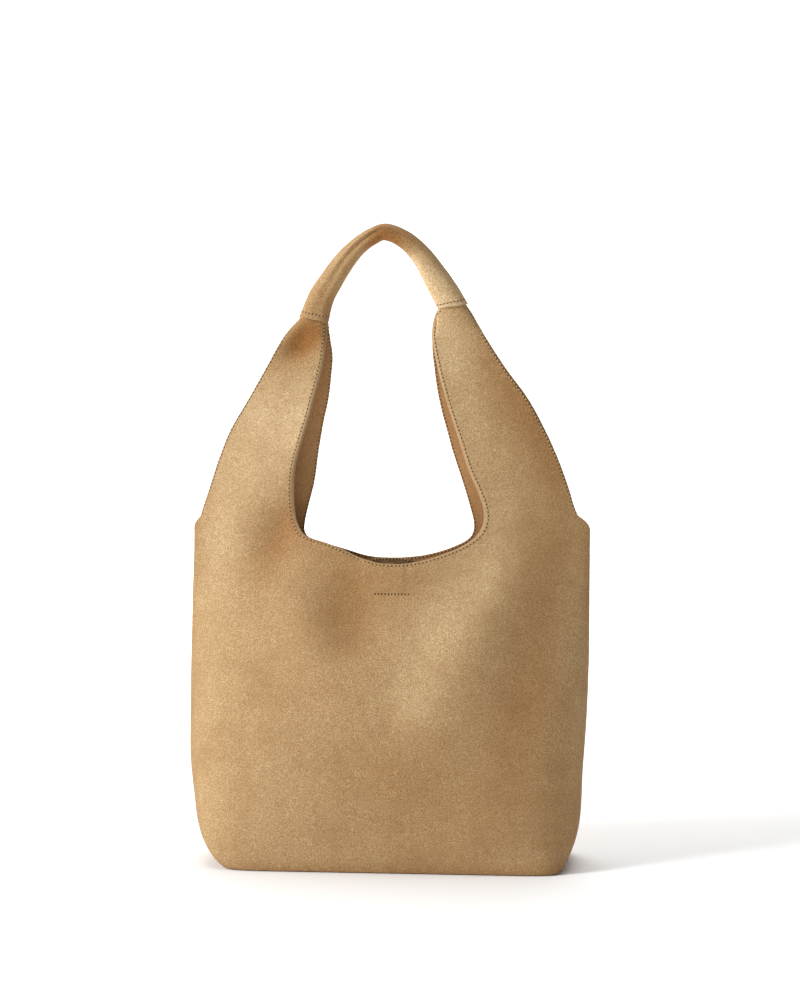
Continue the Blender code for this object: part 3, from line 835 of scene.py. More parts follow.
# %% How the nap lies, with painted shade and highlight
# as the folds: x, z, half length, half width, lean, and how far the suede is made deeper (positive:
# pressed nap and painted shade) or paler (negative: brushed nap and painted highlight)
FRONT_NAP_AND_SHADING = [
    (-78, 475, 26, 16, -43, 1.3), (-97, 308, 36, 22, -27, 0.66), (-114, 268, 26, 14, -20, 0.25),
    (-62, 300, 24, 24, 0, 0.32), (-38, 236, 48, 30, 0, 0.58), (9, 266, 20, 36, 0, 0.32),
    (132, 226, 92, 28, -6, 0.42), (118, 120, 80, 40, 10, 0.36), (112, 424, 80, 24, 27, 0.62),
    (152, 350, 40, 14, 22, 0.3), (14, 108, 50, 60, 70, 0.32), (20, 60, 44, 90, 0, 0.16),
    (-60, 130, 50, 40, 0, 0.12), (50, 474, 26, 18, 10, -0.6), (66, 420, 60, 16, 12, -0.25),
    (-124, 384, 56, 36, -25, -0.68), (-86, 402, 60, 12, -14, -0.5), (46, 222, 66, 26, -32, -0.42),
    (92, 278, 44, 18, -20, -0.5), (26, 148, 30, 24, -30, -0.40), (-158, 300, 60, 18, -6, -0.4),
    (-164, 150, 90, 12, 0, -0.12), (168, 190, 120, 8, 0, -0.12),
]
BACK_NAP_AND_SHADING = [
    (-60, 200, 60, 30, 14, 0.4), (70, 150, 60, 44, -10, 0.35), (120, 60, 40, 40, 0, 0.3),
    (-120, 410, 80, 18, -29, 0.5), (10, 250, 20, 40, 0, 0.35), (60, 260, 70, 18, -20, -0.35),
    (-110, 120, 50, 30, 10, -0.3),
]

# how much darker the suede is made near the base and near the seams, and how far in
BASE_DARKENING, BASE_DARKENING_REACH = 0.40, 8
SEAM_DARKENING, SEAM_DARKENING_REACH = 0.30, 6
PALEST_NAP_AND_HIGHLIGHT, DEEPEST_NAP_AND_SHADE = -1.0, 1.2


def keep_nap_and_shading(obj, nap_and_shading):
    """Stores at each point of a piece how much its suede is made deeper or paler, by nap and by
    painted shade and highlight.
    """
    layer = obj.data.attributes.new("nap", "FLOAT", "POINT")
    layer.data.foreach_set("value", nap_and_shading.astype(np.float32))


def mark_nap_and_shading(obj, strokes):
    """Darkens a panel near its base and seams, and adds the table's strokes of nap tone, painted
    shade and painted highlight.
    """
    points = np.empty(len(obj.data.vertices) * 3)
    obj.data.vertices.foreach_get("co", points)
    x, z = points[0::3] / MM, points[2::3] / MM
    half = np.where(x < 0, along(LEFT_SEAM, z), along(RIGHT_SEAM, z))
    nap_and_shading = BASE_DARKENING * np.exp(-((z / BASE_DARKENING_REACH) ** 2))
    nap_and_shading += SEAM_DARKENING * np.exp(-(((half - np.abs(x)) / SEAM_DARKENING_REACH) ** 2))
    nap_and_shading += drape(x, z, strokes)
    keep_nap_and_shading(obj, np.clip(nap_and_shading, PALEST_NAP_AND_HIGHLIGHT, DEEPEST_NAP_AND_SHADE))


mark_nap_and_shading(front_panel, FRONT_NAP_AND_SHADING)
mark_nap_and_shading(back_panel, BACK_NAP_AND_SHADING)
print("nap strokes:", len(FRONT_NAP_AND_SHADING), "on the front,", len(BACK_NAP_AND_SHADING), "on the back")

# %% [markdown]
# ## Stitches
#
# The edges are topstitched with thread of the suede's own colour, so what shows is mostly the row
# of needle holes. One stitch and one needle mark, a small dark disc of painted shade for the hole,
# are modelled, and a helper lays copies of them along a run at an even pitch, so hundreds of
# stitches stay light.

# %% One stitch and its needle mark, a disc of painted shade
STITCH_ROUND, STITCH_LIFT, STITCH_BEND = (1.0, 0.36, 0.30), 0.1, 0.42
MARK_OVAL, MARK_LIFT, MARK_DISH = (1.25, 0.95, 1.0), 0.07, 0.1
MARK_HALF = 0.57  # half the mark's width


def mesh_arrays(obj):
    """The points and faces of a small model, taking the model away."""
    points = np.array([v.co for v in obj.data.vertices])
    faces = [list(f.vertices) for f in obj.data.polygons]
    bpy.data.objects.remove(obj)
    return points, faces


deselect_all()
bpy.ops.mesh.primitive_uv_sphere_add(
    segments=8, ring_count=6, radius=1.0, rotation=(0, math.pi / 2, 0))
bpy.ops.object.transform_apply(rotation=True)
stitch = bpy.context.object
bpy.ops.object.mode_set(mode="EDIT")
bpy.ops.transform.resize(value=STITCH_ROUND)
bpy.ops.object.mode_set(mode="OBJECT")
for vertex in stitch.data.vertices:
    vertex.co.z += STITCH_LIFT - STITCH_BEND * vertex.co.x**4
stitch_model = mesh_arrays(stitch)

deselect_all()
bpy.ops.mesh.primitive_circle_add(vertices=10, radius=0.6, fill_type="NGON")
mark = bpy.context.object
bpy.ops.object.mode_set(mode="EDIT")
bpy.ops.mesh.inset(thickness=0.2, depth=0)
bpy.ops.transform.resize(value=MARK_OVAL)
bpy.ops.object.mode_set(mode="OBJECT")
for vertex in mark.data.vertices:
    vertex.co.z += MARK_LIFT + MARK_DISH * (vertex.co.y / MARK_HALF) ** 2
mark_model = mesh_arrays(mark)
print("stitch:", len(stitch_model[1]), "faces; needle mark:", len(mark_model[1]), "faces")

# %% [markdown]
# Each run is a line of points with the direction that faces out of the hide at each. A stitch is
# stretched to its share of the pitch, and a needle mark, a dark disc of painted shade for the hole,
# comes half a pitch before it, where the thread goes down.

# %% Runs of stitches
STITCH_SHARE, STITCH_WIDTH, MARK_SIZE = 0.34, 1.2, (1.1, 1.15, 1.05)
LOOK_AHEAD = 0.8  # how far the run's direction is read to each side


def surface_normals(face, toward):
    """Unit normals of a grid of points, turned to the side given."""
    a, b = np.gradient(face, axis=0), np.gradient(face, axis=1)
    normal = np.cross(a, b)
    normal /= np.maximum(np.linalg.norm(normal, axis=-1, keepdims=True), 1e-9)
    turned = np.sign((normal * np.asarray(toward, float)).sum(axis=-1, keepdims=True))
    return normal * np.where(turned == 0, 1, turned)


def frames_along(points, normals, pitch):
    """Places and turns for stitches laid end to end along a run."""
    run = length_along(points)
    count = max(2, int(run[-1] / pitch))
    at = (np.arange(count) + 0.5) * run[-1] / count

    def sample(places, values):
        return np.stack([np.interp(places, run, column) for column in values.T], axis=1)

    middle, normal = sample(at, points), sample(at, normals)
    tangent = sample(at + LOOK_AHEAD, points) - sample(at - LOOK_AHEAD, points)
    tangent /= np.linalg.norm(tangent, axis=1, keepdims=True)
    normal -= tangent * (normal * tangent).sum(axis=1, keepdims=True)
    normal /= np.linalg.norm(normal, axis=1, keepdims=True)
    return middle, np.stack([tangent, np.cross(normal, tangent), normal], axis=2), run[-1] / count


def copied_faces(skin, size, copies, start=0):
    """The faces of a model of this many points, copied again and again."""
    lows = [start + k * size for k in range(copies)]
    return [[v + low for v in face] for low in lows for face in skin]


def sewn(name, runs, pitch=3.5):
    """Thread and needle marks, dark discs of painted shade for the holes, along each run of
    (points, normals).
    """
    points, faces, which, start = [], [], [], 0
    for line, normals in runs:
        middle, turn, step = frames_along(line, normals, pitch)
        stitch_size = (step * STITCH_SHARE, STITCH_WIDTH, STITCH_WIDTH)
        for kind, (model, size, shift) in enumerate((
            (stitch_model, stitch_size, 0.0), (mark_model, MARK_SIZE, -0.5),
        )):
            shape, skin = model
            turned = np.einsum("nij,vj->nvi", turn, shape * np.array(size))
            placed = turned + (middle + turn[:, :, 0] * shift * step)[:, None]
            points.append(placed.reshape(-1, 3))
            faces += copied_faces(skin, len(shape), len(middle), start)
            which += [kind] * (len(middle) * len(skin))
            start += len(middle) * len(shape)
    obj = new_piece(name, np.vstack(points), faces, [thread, painted_pit_shade], which)
    obj.data.polygons.foreach_set("use_smooth", [True] * len(faces))
    return obj


def flat_run(ring, normal):
    """A closed run round a ring whose stitches all face one way."""
    return np.vstack([ring, ring[:1]]), np.tile(normal, (len(ring) + 1, 1))


UNDER_SLEEVE, ABOVE_NOTCH = 12, 300  # where the ears' rows of stitches end


def edge_run(face, side, row, keep):
    """A row of a panel's grid as a run, between the columns kept."""
    normal = surface_normals(face, (0, side, 0))
    return face[keep, row], normal[keep, row]


def panel_runs(face, grid, side):
    """The run round the mouth and up the ears, and the two armhole runs."""
    under_sleeve = above_fold_line(face[..., 0], face[..., 2])
    columns = np.arange(len(grid))
    inner = columns[under_sleeve[:, STITCH_ROW] < UNDER_SLEEVE]
    runs = [edge_run(face, side, STITCH_ROW, inner)]
    far = face.shape[1] - 1 - STITCH_ROW
    free = np.abs(grid[:, -1, 0]) < AT_SEAM
    free &= (under_sleeve[:, far] < UNDER_SLEEVE) & (grid[:, -1, 1] > ABOVE_NOTCH)
    for way in (-1, 1):
        runs.append(edge_run(face, side, far, columns[free & (np.sign(face[:, far, 0]) == way)]))
    return runs


print("stitch helpers ready")

# %% [markdown]
# Under the middle of the mouth, where a maker would stamp a name, there is only a plain line of
# tooled dots, each one a needle mark stood on its end, its dark colour painted shade for the dent.

# %% A line of tooled dots
DOT_X, DOT_Z = np.linspace(-14, 16, 11), 249.0
DOT_WIDE, DOT_TALL = 1.1, 1.5
dot, dot_skin = mark_model
points = []
for x, y, z in wall(across_wall(DOT_X, DOT_Z), np.full(len(DOT_X), DOT_Z), -1):
    points.append(np.stack(
        [x + DOT_WIDE * dot[:, 0], y - dot[:, 2], z + DOT_TALL * dot[:, 1]], axis=1))
faces = copied_faces(dot_skin, len(dot), len(DOT_X))
dots = new_piece("tooled_dots", points, faces, [painted_pit_shade])
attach(dots, "bag")
print("tooled dots:", len(DOT_X))

# %% [markdown]
# The hide is sewn through, so each panel has its rows of thread on its face
# and on its inner side.

# %% Topstitching
def both_sides(points, grid, side):
    """The runs of a panel's face and, after them, of its inner side."""
    return panel_runs(points[0], grid, side) + panel_runs(points[1], grid, -side)


front_stitches = sewn("front_topstitch", both_sides(front_points, front_grid, -1))
back_stitches = sewn("back_topstitch", both_sides(back_points, back_grid, 1))
print("front topstitch:", len(front_stitches.data.polygons), "faces")

# %% [markdown]
# ## The handle
#
# The handle is one strap of suede rolled round a cord and sewn over the ear
# tips. It turns as it climbs: broad side to the front at the ends, edge-on
# at the top, with a soft ridge running up its left half.

# %% Handle sleeve
# x, z, half width across the strap, half depth, direction from the outer to
# the inner edge in degrees
STRAP = [
    (-71.3, 492.5, 13.0, 8.4, -10), (-64.2, 512.5, 11.4, 8.8, -20), (-54.6, 528.4, 10.3, 9.4, -31),
    (-43.5, 544.4, 9.2, 10.2, -38), (-31, 557.8, 7.9, 10.8, -50), (-18.4, 566.4, 7.5, 11.0, -68),
    (-6, 570.3, 7.5, 11.0, -96), (11, 563, 8.0, 10.8, -124), (25, 549.5, 9.2, 10.4, -140),
    (36.5, 532.5, 11.0, 9.6, -148), (44.6, 519.5, 12.2, 8.9, -156), (53, 504.8, 13.4, 8.4, -172),
]
# share of the strap, where the ridge stands round it in degrees (270 faces
# the front, 180 is the outer edge), how high it stands
RIDGE = [
    (0.0, 264, 0.0), (0.08, 263, 0.5), (0.25, 258, 1.1), (0.42, 248, 2.0), (0.55, 236, 1.2),
    (0.7, 225, 0.3), (1.0, 225, 0.0),
]
SEAM_AT = 172  # where the sleeve's edges meet, round the strap in degrees
PATH_STEPS, CORNERS = 16, 0.8
# the ridge and the groove beside it: share, place and width round the strap
CREST, CREST_AT, CREST_WIDTH = 0.06, -0.12, 0.2
GROOVE, GROOVE_AT, GROOVE_WIDTH = 0.075, 0.2, 0.16
# the seam's groove and the raised edges beside it, likewise
SEAM_DIP, SEAM_WIDTH = 0.07, 0.045
SEAM_EDGE, SEAM_EDGE_AT, SEAM_EDGE_WIDTH = 0.03, 0.14, 0.08


def angle_from(turn, at):
    """The angle from one direction to another, from -pi to pi."""
    return (turn - at + math.pi) % (2 * math.pi) - math.pi


def falloff(distance, width):
    """1 at no distance, and falling away smoothly over the width."""
    return np.exp(-((distance / width) ** 2))


def squared_circle(segments, power):
    """Angles round a circle, with their cosines and sines squared off by
    the power."""
    turn = np.linspace(0, 2 * math.pi, segments + 1)[:-1]
    c, s = np.cos(turn), np.sin(turn)
    return turn, np.sign(c) * np.abs(c) ** power, np.sign(s) * np.abs(s) ** power


def strap_rings(shares, trim, segments=120, flare=None):
    """Rings round the strap at these shares of its length."""
    path = smooth_path(STRAP, PATH_STEPS)
    at = np.asarray(shares) * (len(path) - 1)
    stations = np.stack([np.interp(at, np.arange(len(path)), column) for column in path.T], axis=1)
    ridge_at = np.radians(along([row[:2] for row in RIDGE], shares))
    ridge_height = along([(row[0], row[2]) for row in RIDGE], shares)
    turn, c, s = squared_circle(segments, CORNERS)
    seam = np.abs(angle_from(turn, math.radians(SEAM_AT)))
    seam_lift = SEAM_EDGE * falloff(seam - SEAM_EDGE_AT, SEAM_EDGE_WIDTH)
    seam_lift -= SEAM_DIP * falloff(seam, SEAM_WIDTH)
    rings = []
    for k, (x, z, wide, deep, lean) in enumerate(stations):
        a = math.radians(lean)
        more = -trim if flare is None else flare[k] - trim
        around = angle_from(turn, ridge_at[k])
        ridge = CREST * falloff(around - CREST_AT, CREST_WIDTH)
        ridge -= GROOVE * falloff(around - GROOVE_AT, GROOVE_WIDTH)
        lift = 1 + ridge_height[k] * ridge + seam_lift
        across = (wide + more) * c * lift
        y = (deep + more) * s * lift
        rings.append(np.stack([x + math.cos(a) * across, y, z + math.sin(a) * across], axis=1))
    return np.array(rings)


def tube(name, rings, bore, slots):
    """A skin over a stack of rings, in millimetres. With a bore, which is a
    second stack, it is a sleeve between the two. Without one it is closed
    over its first and last ring."""
    count, around = rings.shape[:2]
    index = np.arange(count * around).reshape(count, around)
    a, d = index[:-1], index[1:]
    b, c = np.roll(a, -1, axis=1), np.roll(d, -1, axis=1)
    side = np.stack([v.ravel() for v in (a, b, c, d)], 1)
    if bore is None:
        points = rings.reshape(-1, 3)
        quads = side.tolist() + [index[0][::-1].tolist(), index[-1].tolist()]
        which = [0] * len(quads)
    else:
        low = count * around
        points = np.vstack([rings.reshape(-1, 3), bore.reshape(-1, 3)])
        ends = []
        for row in (index[0], index[-1]):
            ends.append(np.stack([row, np.roll(row, -1), np.roll(row, -1) + low, row + low], 1))
        quads = np.vstack([side, side[:, ::-1] + low] + ends).tolist()
        which = [0] * len(side) + [1] * len(side) + [2] * (2 * around)
    obj = new_piece(name, points, quads, slots, which)
    work = bmesh.new()
    work.from_mesh(obj.data)
    bmesh.ops.recalc_face_normals(work, faces=work.faces)
    work.to_mesh(obj.data)
    work.free()
    take(obj)
    bpy.ops.object.shade_smooth_by_angle(angle=math.radians(50))
    return obj


# how far the sleeve's mouths stand out, over which share, and their rolled lip
FLARE, FLARE_SHARE, LIP = 0.5, 0.012, 0.35
sleeve_shares = np.concatenate([
    [0, 0.002, 0.006, 0.012], np.linspace(0.02, 0.98, 120), [0.988, 0.994, 0.998, 1.0],
])
sleeve_flare = FLARE * np.exp(-sleeve_shares / FLARE_SHARE)
sleeve_flare += FLARE * np.exp(-(1 - sleeve_shares) / FLARE_SHARE)
sleeve_flare[[0, -1]] -= LIP
sleeve_rings = strap_rings(sleeve_shares, 0, flare=sleeve_flare)
sleeve_bore = strap_rings(sleeve_shares, HIDE - 0.2, flare=sleeve_flare)
sleeve = tube("handle_suede", sleeve_rings, sleeve_bore, [suede, flesh, raw])
# by share of the sleeve: how far its suede is made deeper (pressed nap and painted shade under the
# top of the handle) or paler (brushed nap and painted highlight on its right half), on its inner
# and its outer side
NAP_AND_SHADING_INSIDE = [
    (0, 0.5), (0.1, 0.4), (0.2, 0.1), (0.36, 0.5), (0.45, 1.3), (0.58, 1.4), (0.66, 0.4),
    (0.74, -1.2), (1, -1.3),
]
NAP_AND_SHADING_OUTSIDE = [(0, 0.2), (0.2, 0.1), (0.4, 0.0), (0.5, 0.5), (0.6, 0.5), (0.8, 0.1), (1, -0.3)]
inside_share = 0.5 + 0.5 * np.cos(np.linspace(0, 2 * math.pi, sleeve_rings.shape[1] + 1)[:-1])
nap_and_shading = along(NAP_AND_SHADING_INSIDE, sleeve_shares)[:, None] * inside_share
nap_and_shading += along(NAP_AND_SHADING_OUTSIDE, sleeve_shares)[:, None] * (1 - inside_share)
keep_nap_and_shading(sleeve, np.concatenate([nap_and_shading.ravel(), nap_and_shading.ravel()]))
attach(sleeve, "handle")
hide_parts("handle_sleeve")
print("sleeve:", len(sleeve.data.polygons), "faces")

# %% [markdown]
# A row of stitches runs round the sleeve just above each end, where it is
# sewn through the ears, and another beside the seam where its edges meet.

# %% Sleeve stitches
def ring_normals(ring):
    """Outward unit normals round a ring of points."""
    tangent = np.roll(ring, -1, axis=0) - np.roll(ring, 1, axis=0)
    middle = ring.mean(axis=0)
    flat = np.cross(tangent, np.cross(ring - middle, tangent))
    return flat / np.linalg.norm(flat, axis=1, keepdims=True)


def closed_run(ring):
    """A run round a ring, its stitches facing outwards."""
    ring, normals = np.vstack([ring, ring[:1]]), ring_normals(ring)
    return ring, np.vstack([normals, normals[:1]])


# the rows' shares of the sleeve, and where the seam's row stands in degrees
END_ROWS, SEAM_ROW, SEAM_ROW_TRIM = (0.021, 0.979), 186, 8
sleeve_runs = [closed_run(strap_rings([share], -0.02)[0]) for share in END_ROWS]
beside = round(SEAM_ROW / 360 * sleeve_rings.shape[1])
along_seam = sleeve_rings[SEAM_ROW_TRIM:-SEAM_ROW_TRIM]
normals_there = np.array([ring_normals(ring)[beside] for ring in along_seam])
sleeve_runs.append((along_seam[:, beside], normals_there))
sleeve_stitches = sewn("handle_topstitch", sleeve_runs, pitch=3.1)
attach(sleeve_stitches, "handle")
print("sleeve stitches:", len(sleeve_stitches.data.polygons), "faces")

# %% [markdown]
# Inside each sleeve end the two ears are gathered round a flat plug of
# suede, which fills the gap between them. It is lofted from the sleeve's own
# rings down to the line where the ears bend.

# %% Ear plugs
# the rings inside the sleeve by share, how far below the hide, how flat
PLUG_SHARES, PLUG_TRIM, PLUG_FLAT = (0.09, 0.06, 0.03, 0.005), 3.4, 0.78
# the rings below its mouth: height over the fold, how flat, how wide
PLUG_FOOT = [(5.5, 0.9, 1.0), (2.0, 0.82, 0.96), (-2.0, 0.62, 0.9), (-4.5, 0.25, 0.8)]
for word, hinge, at_start in (("left", FOLD_LEFT, True), ("right", FOLD_RIGHT, False)):
    shares = [share if at_start else 1 - share for share in PLUG_SHARES]
    in_sleeve = strap_rings(shares, PLUG_TRIM, segments=48)
    rings = [ring * (1, PLUG_FLAT, 1) for ring in in_sleeve]
    mouth_ring, middle = rings[-1], rings[-1].mean(axis=0)
    for rise, slim, width in PLUG_FOOT:
        target = np.array([hinge[0], 0, hinge[1] + rise])
        rings.append((mouth_ring - middle) * (width, slim, width) + target)
    plug = tube("ear_plug_" + word, np.array(rings), None, [flesh])
    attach(plug, "handle")
    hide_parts("ear_tip_" + word)
print("ear plugs made")

# %% [markdown]
# ## Base
#
# The base is one oblong of suede sewn to the walls, with a board over it and
# a facing of suede over the board, so that the bag stands. The oblong is
# lofted through rounded outlines, which gives it the soft edge of folded
# hide, and a row of stitches follows it underneath.

# %% Base
BASE_HALF_LENGTH, BASE_HALF_DEPTH, BASE_CORNERS = 149.5, 55, 2 / 9.0
# how far the outline is drawn in, and the height there
BASE_RINGS = [(6.0, 0.0), (3.4, 0.0), (2.6, 0.35), (2.4, 1.0), (3.0, 1.75), (6.0, 1.9)]
FACING_RINGS = [(6.5, 4.6), (4.4, 4.65), (3.6, 5.1), (4.2, 5.7), (6.5, 5.85)]


def oblong(inset, z, segments=144):
    """A ring of the base's outline, drawn in by the inset."""
    _, c, s = squared_circle(segments, BASE_CORNERS)
    x, y = (BASE_HALF_LENGTH - inset) * c, (BASE_HALF_DEPTH - inset) * s
    return np.stack([x, y, np.full(segments, z)], axis=1)


base_suede = tube("base_suede", np.array([oblong(*ring) for ring in BASE_RINGS]), None, [suede])
facing_pad = tube("base_facing", np.array([oblong(*ring) for ring in FACING_RINGS]), None, [facing])
base_stitches = sewn("base_topstitch", [flat_run(oblong(7.5, 0.02), (0.0, 0.0, -1.0))])
facing_stitches = sewn("base_facing_stitch", [flat_run(oblong(8.5, 5.86), (0.0, 0.0, 1.0))])
for obj, node in ((base_suede, "base_panel"), (facing_pad, "base_liner")):
    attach(obj, "bag")
    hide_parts(node)
for obj in (base_stitches, facing_stitches):
    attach(obj, "bag")
print("base:", [round(v * 1000, 1) for v in base_suede.dimensions], "mm")

# %% [markdown]
# ## Bound side seams
#
# Inside each side seam the two edges stand up together, bound with a strip of
# suede. Lofting one rounded section up the seam gives the strip its soft lip,
# and the stitches run along both of its faces.

# %% Side seams
# by height: how far the strip keeps from the wall
BINDING_GAP = [(0, 0.6), (60, 0.9), (150, 2.2), (230, 4.6), (300, 6.4)]
# how far in from the seam, and the half thickness there
BINDING_SECTION = [
    (0.2, 0.9), (2.6, 1.05), (3.0, 1.45), (6.0, 1.5), (8.8, 1.35), (9.7, 0.8), (9.95, 0.0),
]
BINDING_ROW, BINDING_HALF = 4.6, 1.5  # the stitches' depth in, and half thickness
binding_z = np.linspace(7.0, 297.0, 90)
section = [(d, -h) for d, h in BINDING_SECTION]
section += [(d, h) for d, h in BINDING_SECTION[-2::-1]]
for side, word, edge in ((-1, "left", LEFT_SEAM), (1, "right", RIGHT_SEAM)):
    seam = along(edge, binding_z) - along(SEAM_WALL, binding_z) - along(BINDING_GAP, binding_z)
    rings = [[(side * (start - d), h, z) for d, h in section] for start, z in zip(seam, binding_z)]
    binding = tube("side_seam_binding_" + word, np.array(rings), None, [facing])
    runs = []
    for face in (-1, 1):
        y = np.full(len(seam), face * BINDING_HALF)
        line = np.stack([side * (seam - BINDING_ROW), y, binding_z], axis=1)[2:-2]
        runs.append((line, np.tile((0.0, float(face), 0.0), (len(line), 1))))
    binding_stitches = sewn("side_seam_stitch_" + word, runs)
    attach(binding, "bag")
    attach(binding_stitches, "bag")
    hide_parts("side_binding_" + word)
print("bindings:", len(binding.data.polygons), "faces each")

# %% [markdown]
# ## Magnetic snap
#
# A patch of suede inside each wall, near the mouth, carries half of a
# magnetic snap. Each patch is lofted outwards from its middle, following the
# wall behind it, and sewn near its edge. The brass halves start from the
# frame's own discs: a copy is merged, its flat faces are made whole, and a
# bevel gives the turned edge that catches the light.

# %% Snap patches
SNAP_X, SNAP_Z, PATCH_X, PATCH_Z, PATCH_CORNERS = -4.0, 262.5, 20.0, 12.5, 0.4
# share of the patch's size, and how far out from the wall
PATCH_RINGS = [
    (0.06, 0.3), (0.5, 0.3), (0.96, 0.3), (1.0, 0.7), (0.995, 1.4), (0.97, 1.95),
    (0.9, 2.2), (0.7, 2.25), (0.4, 2.25), (0.06, 2.25),
]


def inner_y(x, z, side):
    """Y of the inner side of the wall."""
    return wall(across_wall(x, z), z, side, HIDE)[..., 1]


def patch_ring(size, depth, side, segments=64):
    """A ring of the patch: this share of its size, this far off the wall."""
    _, c, s = squared_circle(segments, PATCH_CORNERS)
    x, z = SNAP_X + size * PATCH_X * c, SNAP_Z + size * PATCH_Z * s
    return np.stack([x, inner_y(x, z, side) - side * depth, z], axis=1)


for side, word in ((-1, "front"), (1, "back")):
    rings = np.array([patch_ring(size, depth, side) for size, depth in PATCH_RINGS])
    patch = tube("snap_patch_suede_" + word, rings, None, [facing])
    run = flat_run(patch_ring(0.88, 2.21, side), (0.0, -float(side), 0.0))
    patch_stitches = sewn("snap_patch_stitch_" + word, [run], pitch=2.9)
    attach(patch, "bag")
    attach(patch_stitches, "bag")
    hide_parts("snap_patch_" + word)
print("snap patches made")

# %% Turned and cast parts
WELD = 0.00002  # metres within which points are merged
FLAT_WITHIN, SHARP_FROM = math.radians(1.5), math.radians(35)


def finished_copy(node, name, body, material, bevel):
    """A copy of a frame node with whole faces and rounded edges."""
    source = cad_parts[node]
    mesh = source.data.copy()
    mesh.name = name
    obj = bpy.data.objects.new(name, mesh)
    scene.collection.objects.link(obj)
    take(obj)
    bpy.ops.object.mode_set(mode="EDIT")
    bpy.ops.mesh.select_all(action="SELECT")
    bpy.ops.mesh.remove_doubles(threshold=WELD)
    bpy.ops.mesh.dissolve_limited(angle_limit=FLAT_WITHIN)
    bpy.ops.mesh.normals_make_consistent(inside=False)
    bpy.ops.object.mode_set(mode="OBJECT")
    mesh.materials.clear()
    mesh.materials.append(material)
    soften = obj.modifiers.new("turned_edge", "BEVEL")
    soften.width, soften.segments = bevel * MM, 3
    soften.limit_method, soften.angle_limit = "ANGLE", SHARP_FROM
    bpy.ops.object.modifier_apply(modifier=soften.name)
    bpy.ops.object.shade_smooth_by_angle(angle=SHARP_FROM)
    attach(obj, body)
    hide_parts(node)


finished_copy("snap_socket", "snap_socket_brass", "bag", brass, 0.35)
finished_copy("snap_stud", "snap_stud_brass", "bag", brass, 0.35)
for word in ("front", "back"):
    washer, plated = "snap_washer_" + word, "snap_washer_steel_" + word
    finished_copy(washer, plated, "bag", steel, 0.12)
print("snap halves made")

# %% [markdown]
# ## Zip pocket
#
# A flat pocket hangs inside the back wall. Its front is one piece of cloth
# with a slot for the zip: a grid is laid out so that its lines meet the
# slot's edges, the slot's faces are left out, the border is rolled back to
# meet the rear cloth, and the middle puffs a little.

# %% Pocket cloths
POCKET_LEFT, POCKET_RIGHT, POCKET_LOW, POCKET_HIGH = -76.0, 76.0, 104.0, 236.0
POCKET_FRONT, POCKET_REAR = 13.5, 19.9
ZIP_Z, ZIP_HALF = 213.0, 60.0
SLOT_X, SLOT_Z = ZIP_HALF + 3, 4.8
SLOT_LOW, SLOT_HIGH = ZIP_Z - SLOT_Z, ZIP_Z + SLOT_Z
BORDER, CLOTH = 7.0, 0.9  # width of the rolled border, thickness of the cloth
PUFF, PUFF_TALL, RIPPLE = 2.2, 92, 0.5
CALM_FROM, CALM_TO = 14, 40  # the cloth lies flat this near the zip


def pocket_y(x, z):
    """The pocket's front, rolled back at its border and puffed between."""
    beside = np.minimum(x - POCKET_LEFT, POCKET_RIGHT - x)
    edge = np.minimum(beside, np.minimum(z - POCKET_LOW, POCKET_HIGH - z))
    t = np.clip(edge / BORDER, 0, 1)
    arch = np.sin((x - POCKET_LEFT) / (POCKET_RIGHT - POCKET_LEFT) * math.pi)
    puff = PUFF * arch * np.sin(np.clip((z - POCKET_LOW) / PUFF_TALL, 0, 1) * math.pi)
    ripple = RIPPLE * np.sin(x / 13 + z / 23) * np.sin(z / 17 - x / 41)
    rolled = (POCKET_REAR - 0.2 - POCKET_FRONT) * (1 - np.sqrt(1 - (1 - t) ** 2))
    return POCKET_FRONT + rolled - (puff + ripple) * ease(np.abs(z - ZIP_Z), CALM_FROM, CALM_TO) * t


across = np.concatenate([
    np.linspace(POCKET_LEFT, -SLOT_X, 12),
    np.linspace(-SLOT_X, SLOT_X, 50)[1:-1],
    np.linspace(SLOT_X, POCKET_RIGHT, 12),
])
border_steps = BORDER * np.linspace(0, 1, 8) ** 1.5  # close together at the edge
upward = np.concatenate([
    POCKET_LOW + border_steps,
    np.linspace(114, SLOT_LOW - 2, 34),
    np.linspace(SLOT_LOW, SLOT_HIGH, 4),
    np.linspace(SLOT_HIGH + 2, POCKET_HIGH - BORDER, 6),
    POCKET_HIGH - border_steps[-2::-1],
])
columns, levels = np.meshgrid(across, upward, indexing="ij")
points = np.stack([columns, pocket_y(columns, levels), levels], axis=-1)
index = np.arange(columns.size).reshape(columns.shape)
quads = np.stack([index[:-1, :-1], index[1:, :-1], index[1:, 1:], index[:-1, 1:]], axis=-1)
mid_x, mid_z = (across[:-1] + across[1:]) / 2, (upward[:-1] + upward[1:]) / 2
kept = (np.abs(mid_x) > SLOT_X)[:, None] | (np.abs(mid_z - ZIP_Z) > SLOT_Z)
pocket = new_piece("pocket_front_cloth", points, quads[kept].tolist(), [pocket_cloth])
take(pocket)
bpy.ops.object.mode_set(mode="EDIT")
bpy.ops.mesh.select_all(action="SELECT")
bpy.ops.mesh.delete_loose()
bpy.ops.object.mode_set(mode="OBJECT")
thick = pocket.modifiers.new("cloth", "SOLIDIFY")
thick.thickness, thick.offset = CLOTH * MM, -1.0
bpy.ops.object.modifier_apply(modifier=thick.name)
bpy.ops.object.shade_smooth_by_angle(angle=math.radians(40))
print("pocket front:", len(pocket.data.polygons), "faces")

# %% Pocket stitches, rear and hanger
TAPE_SEW, BORDER_SEW = 2.2, 8  # how far the rows lie from the slot and the border


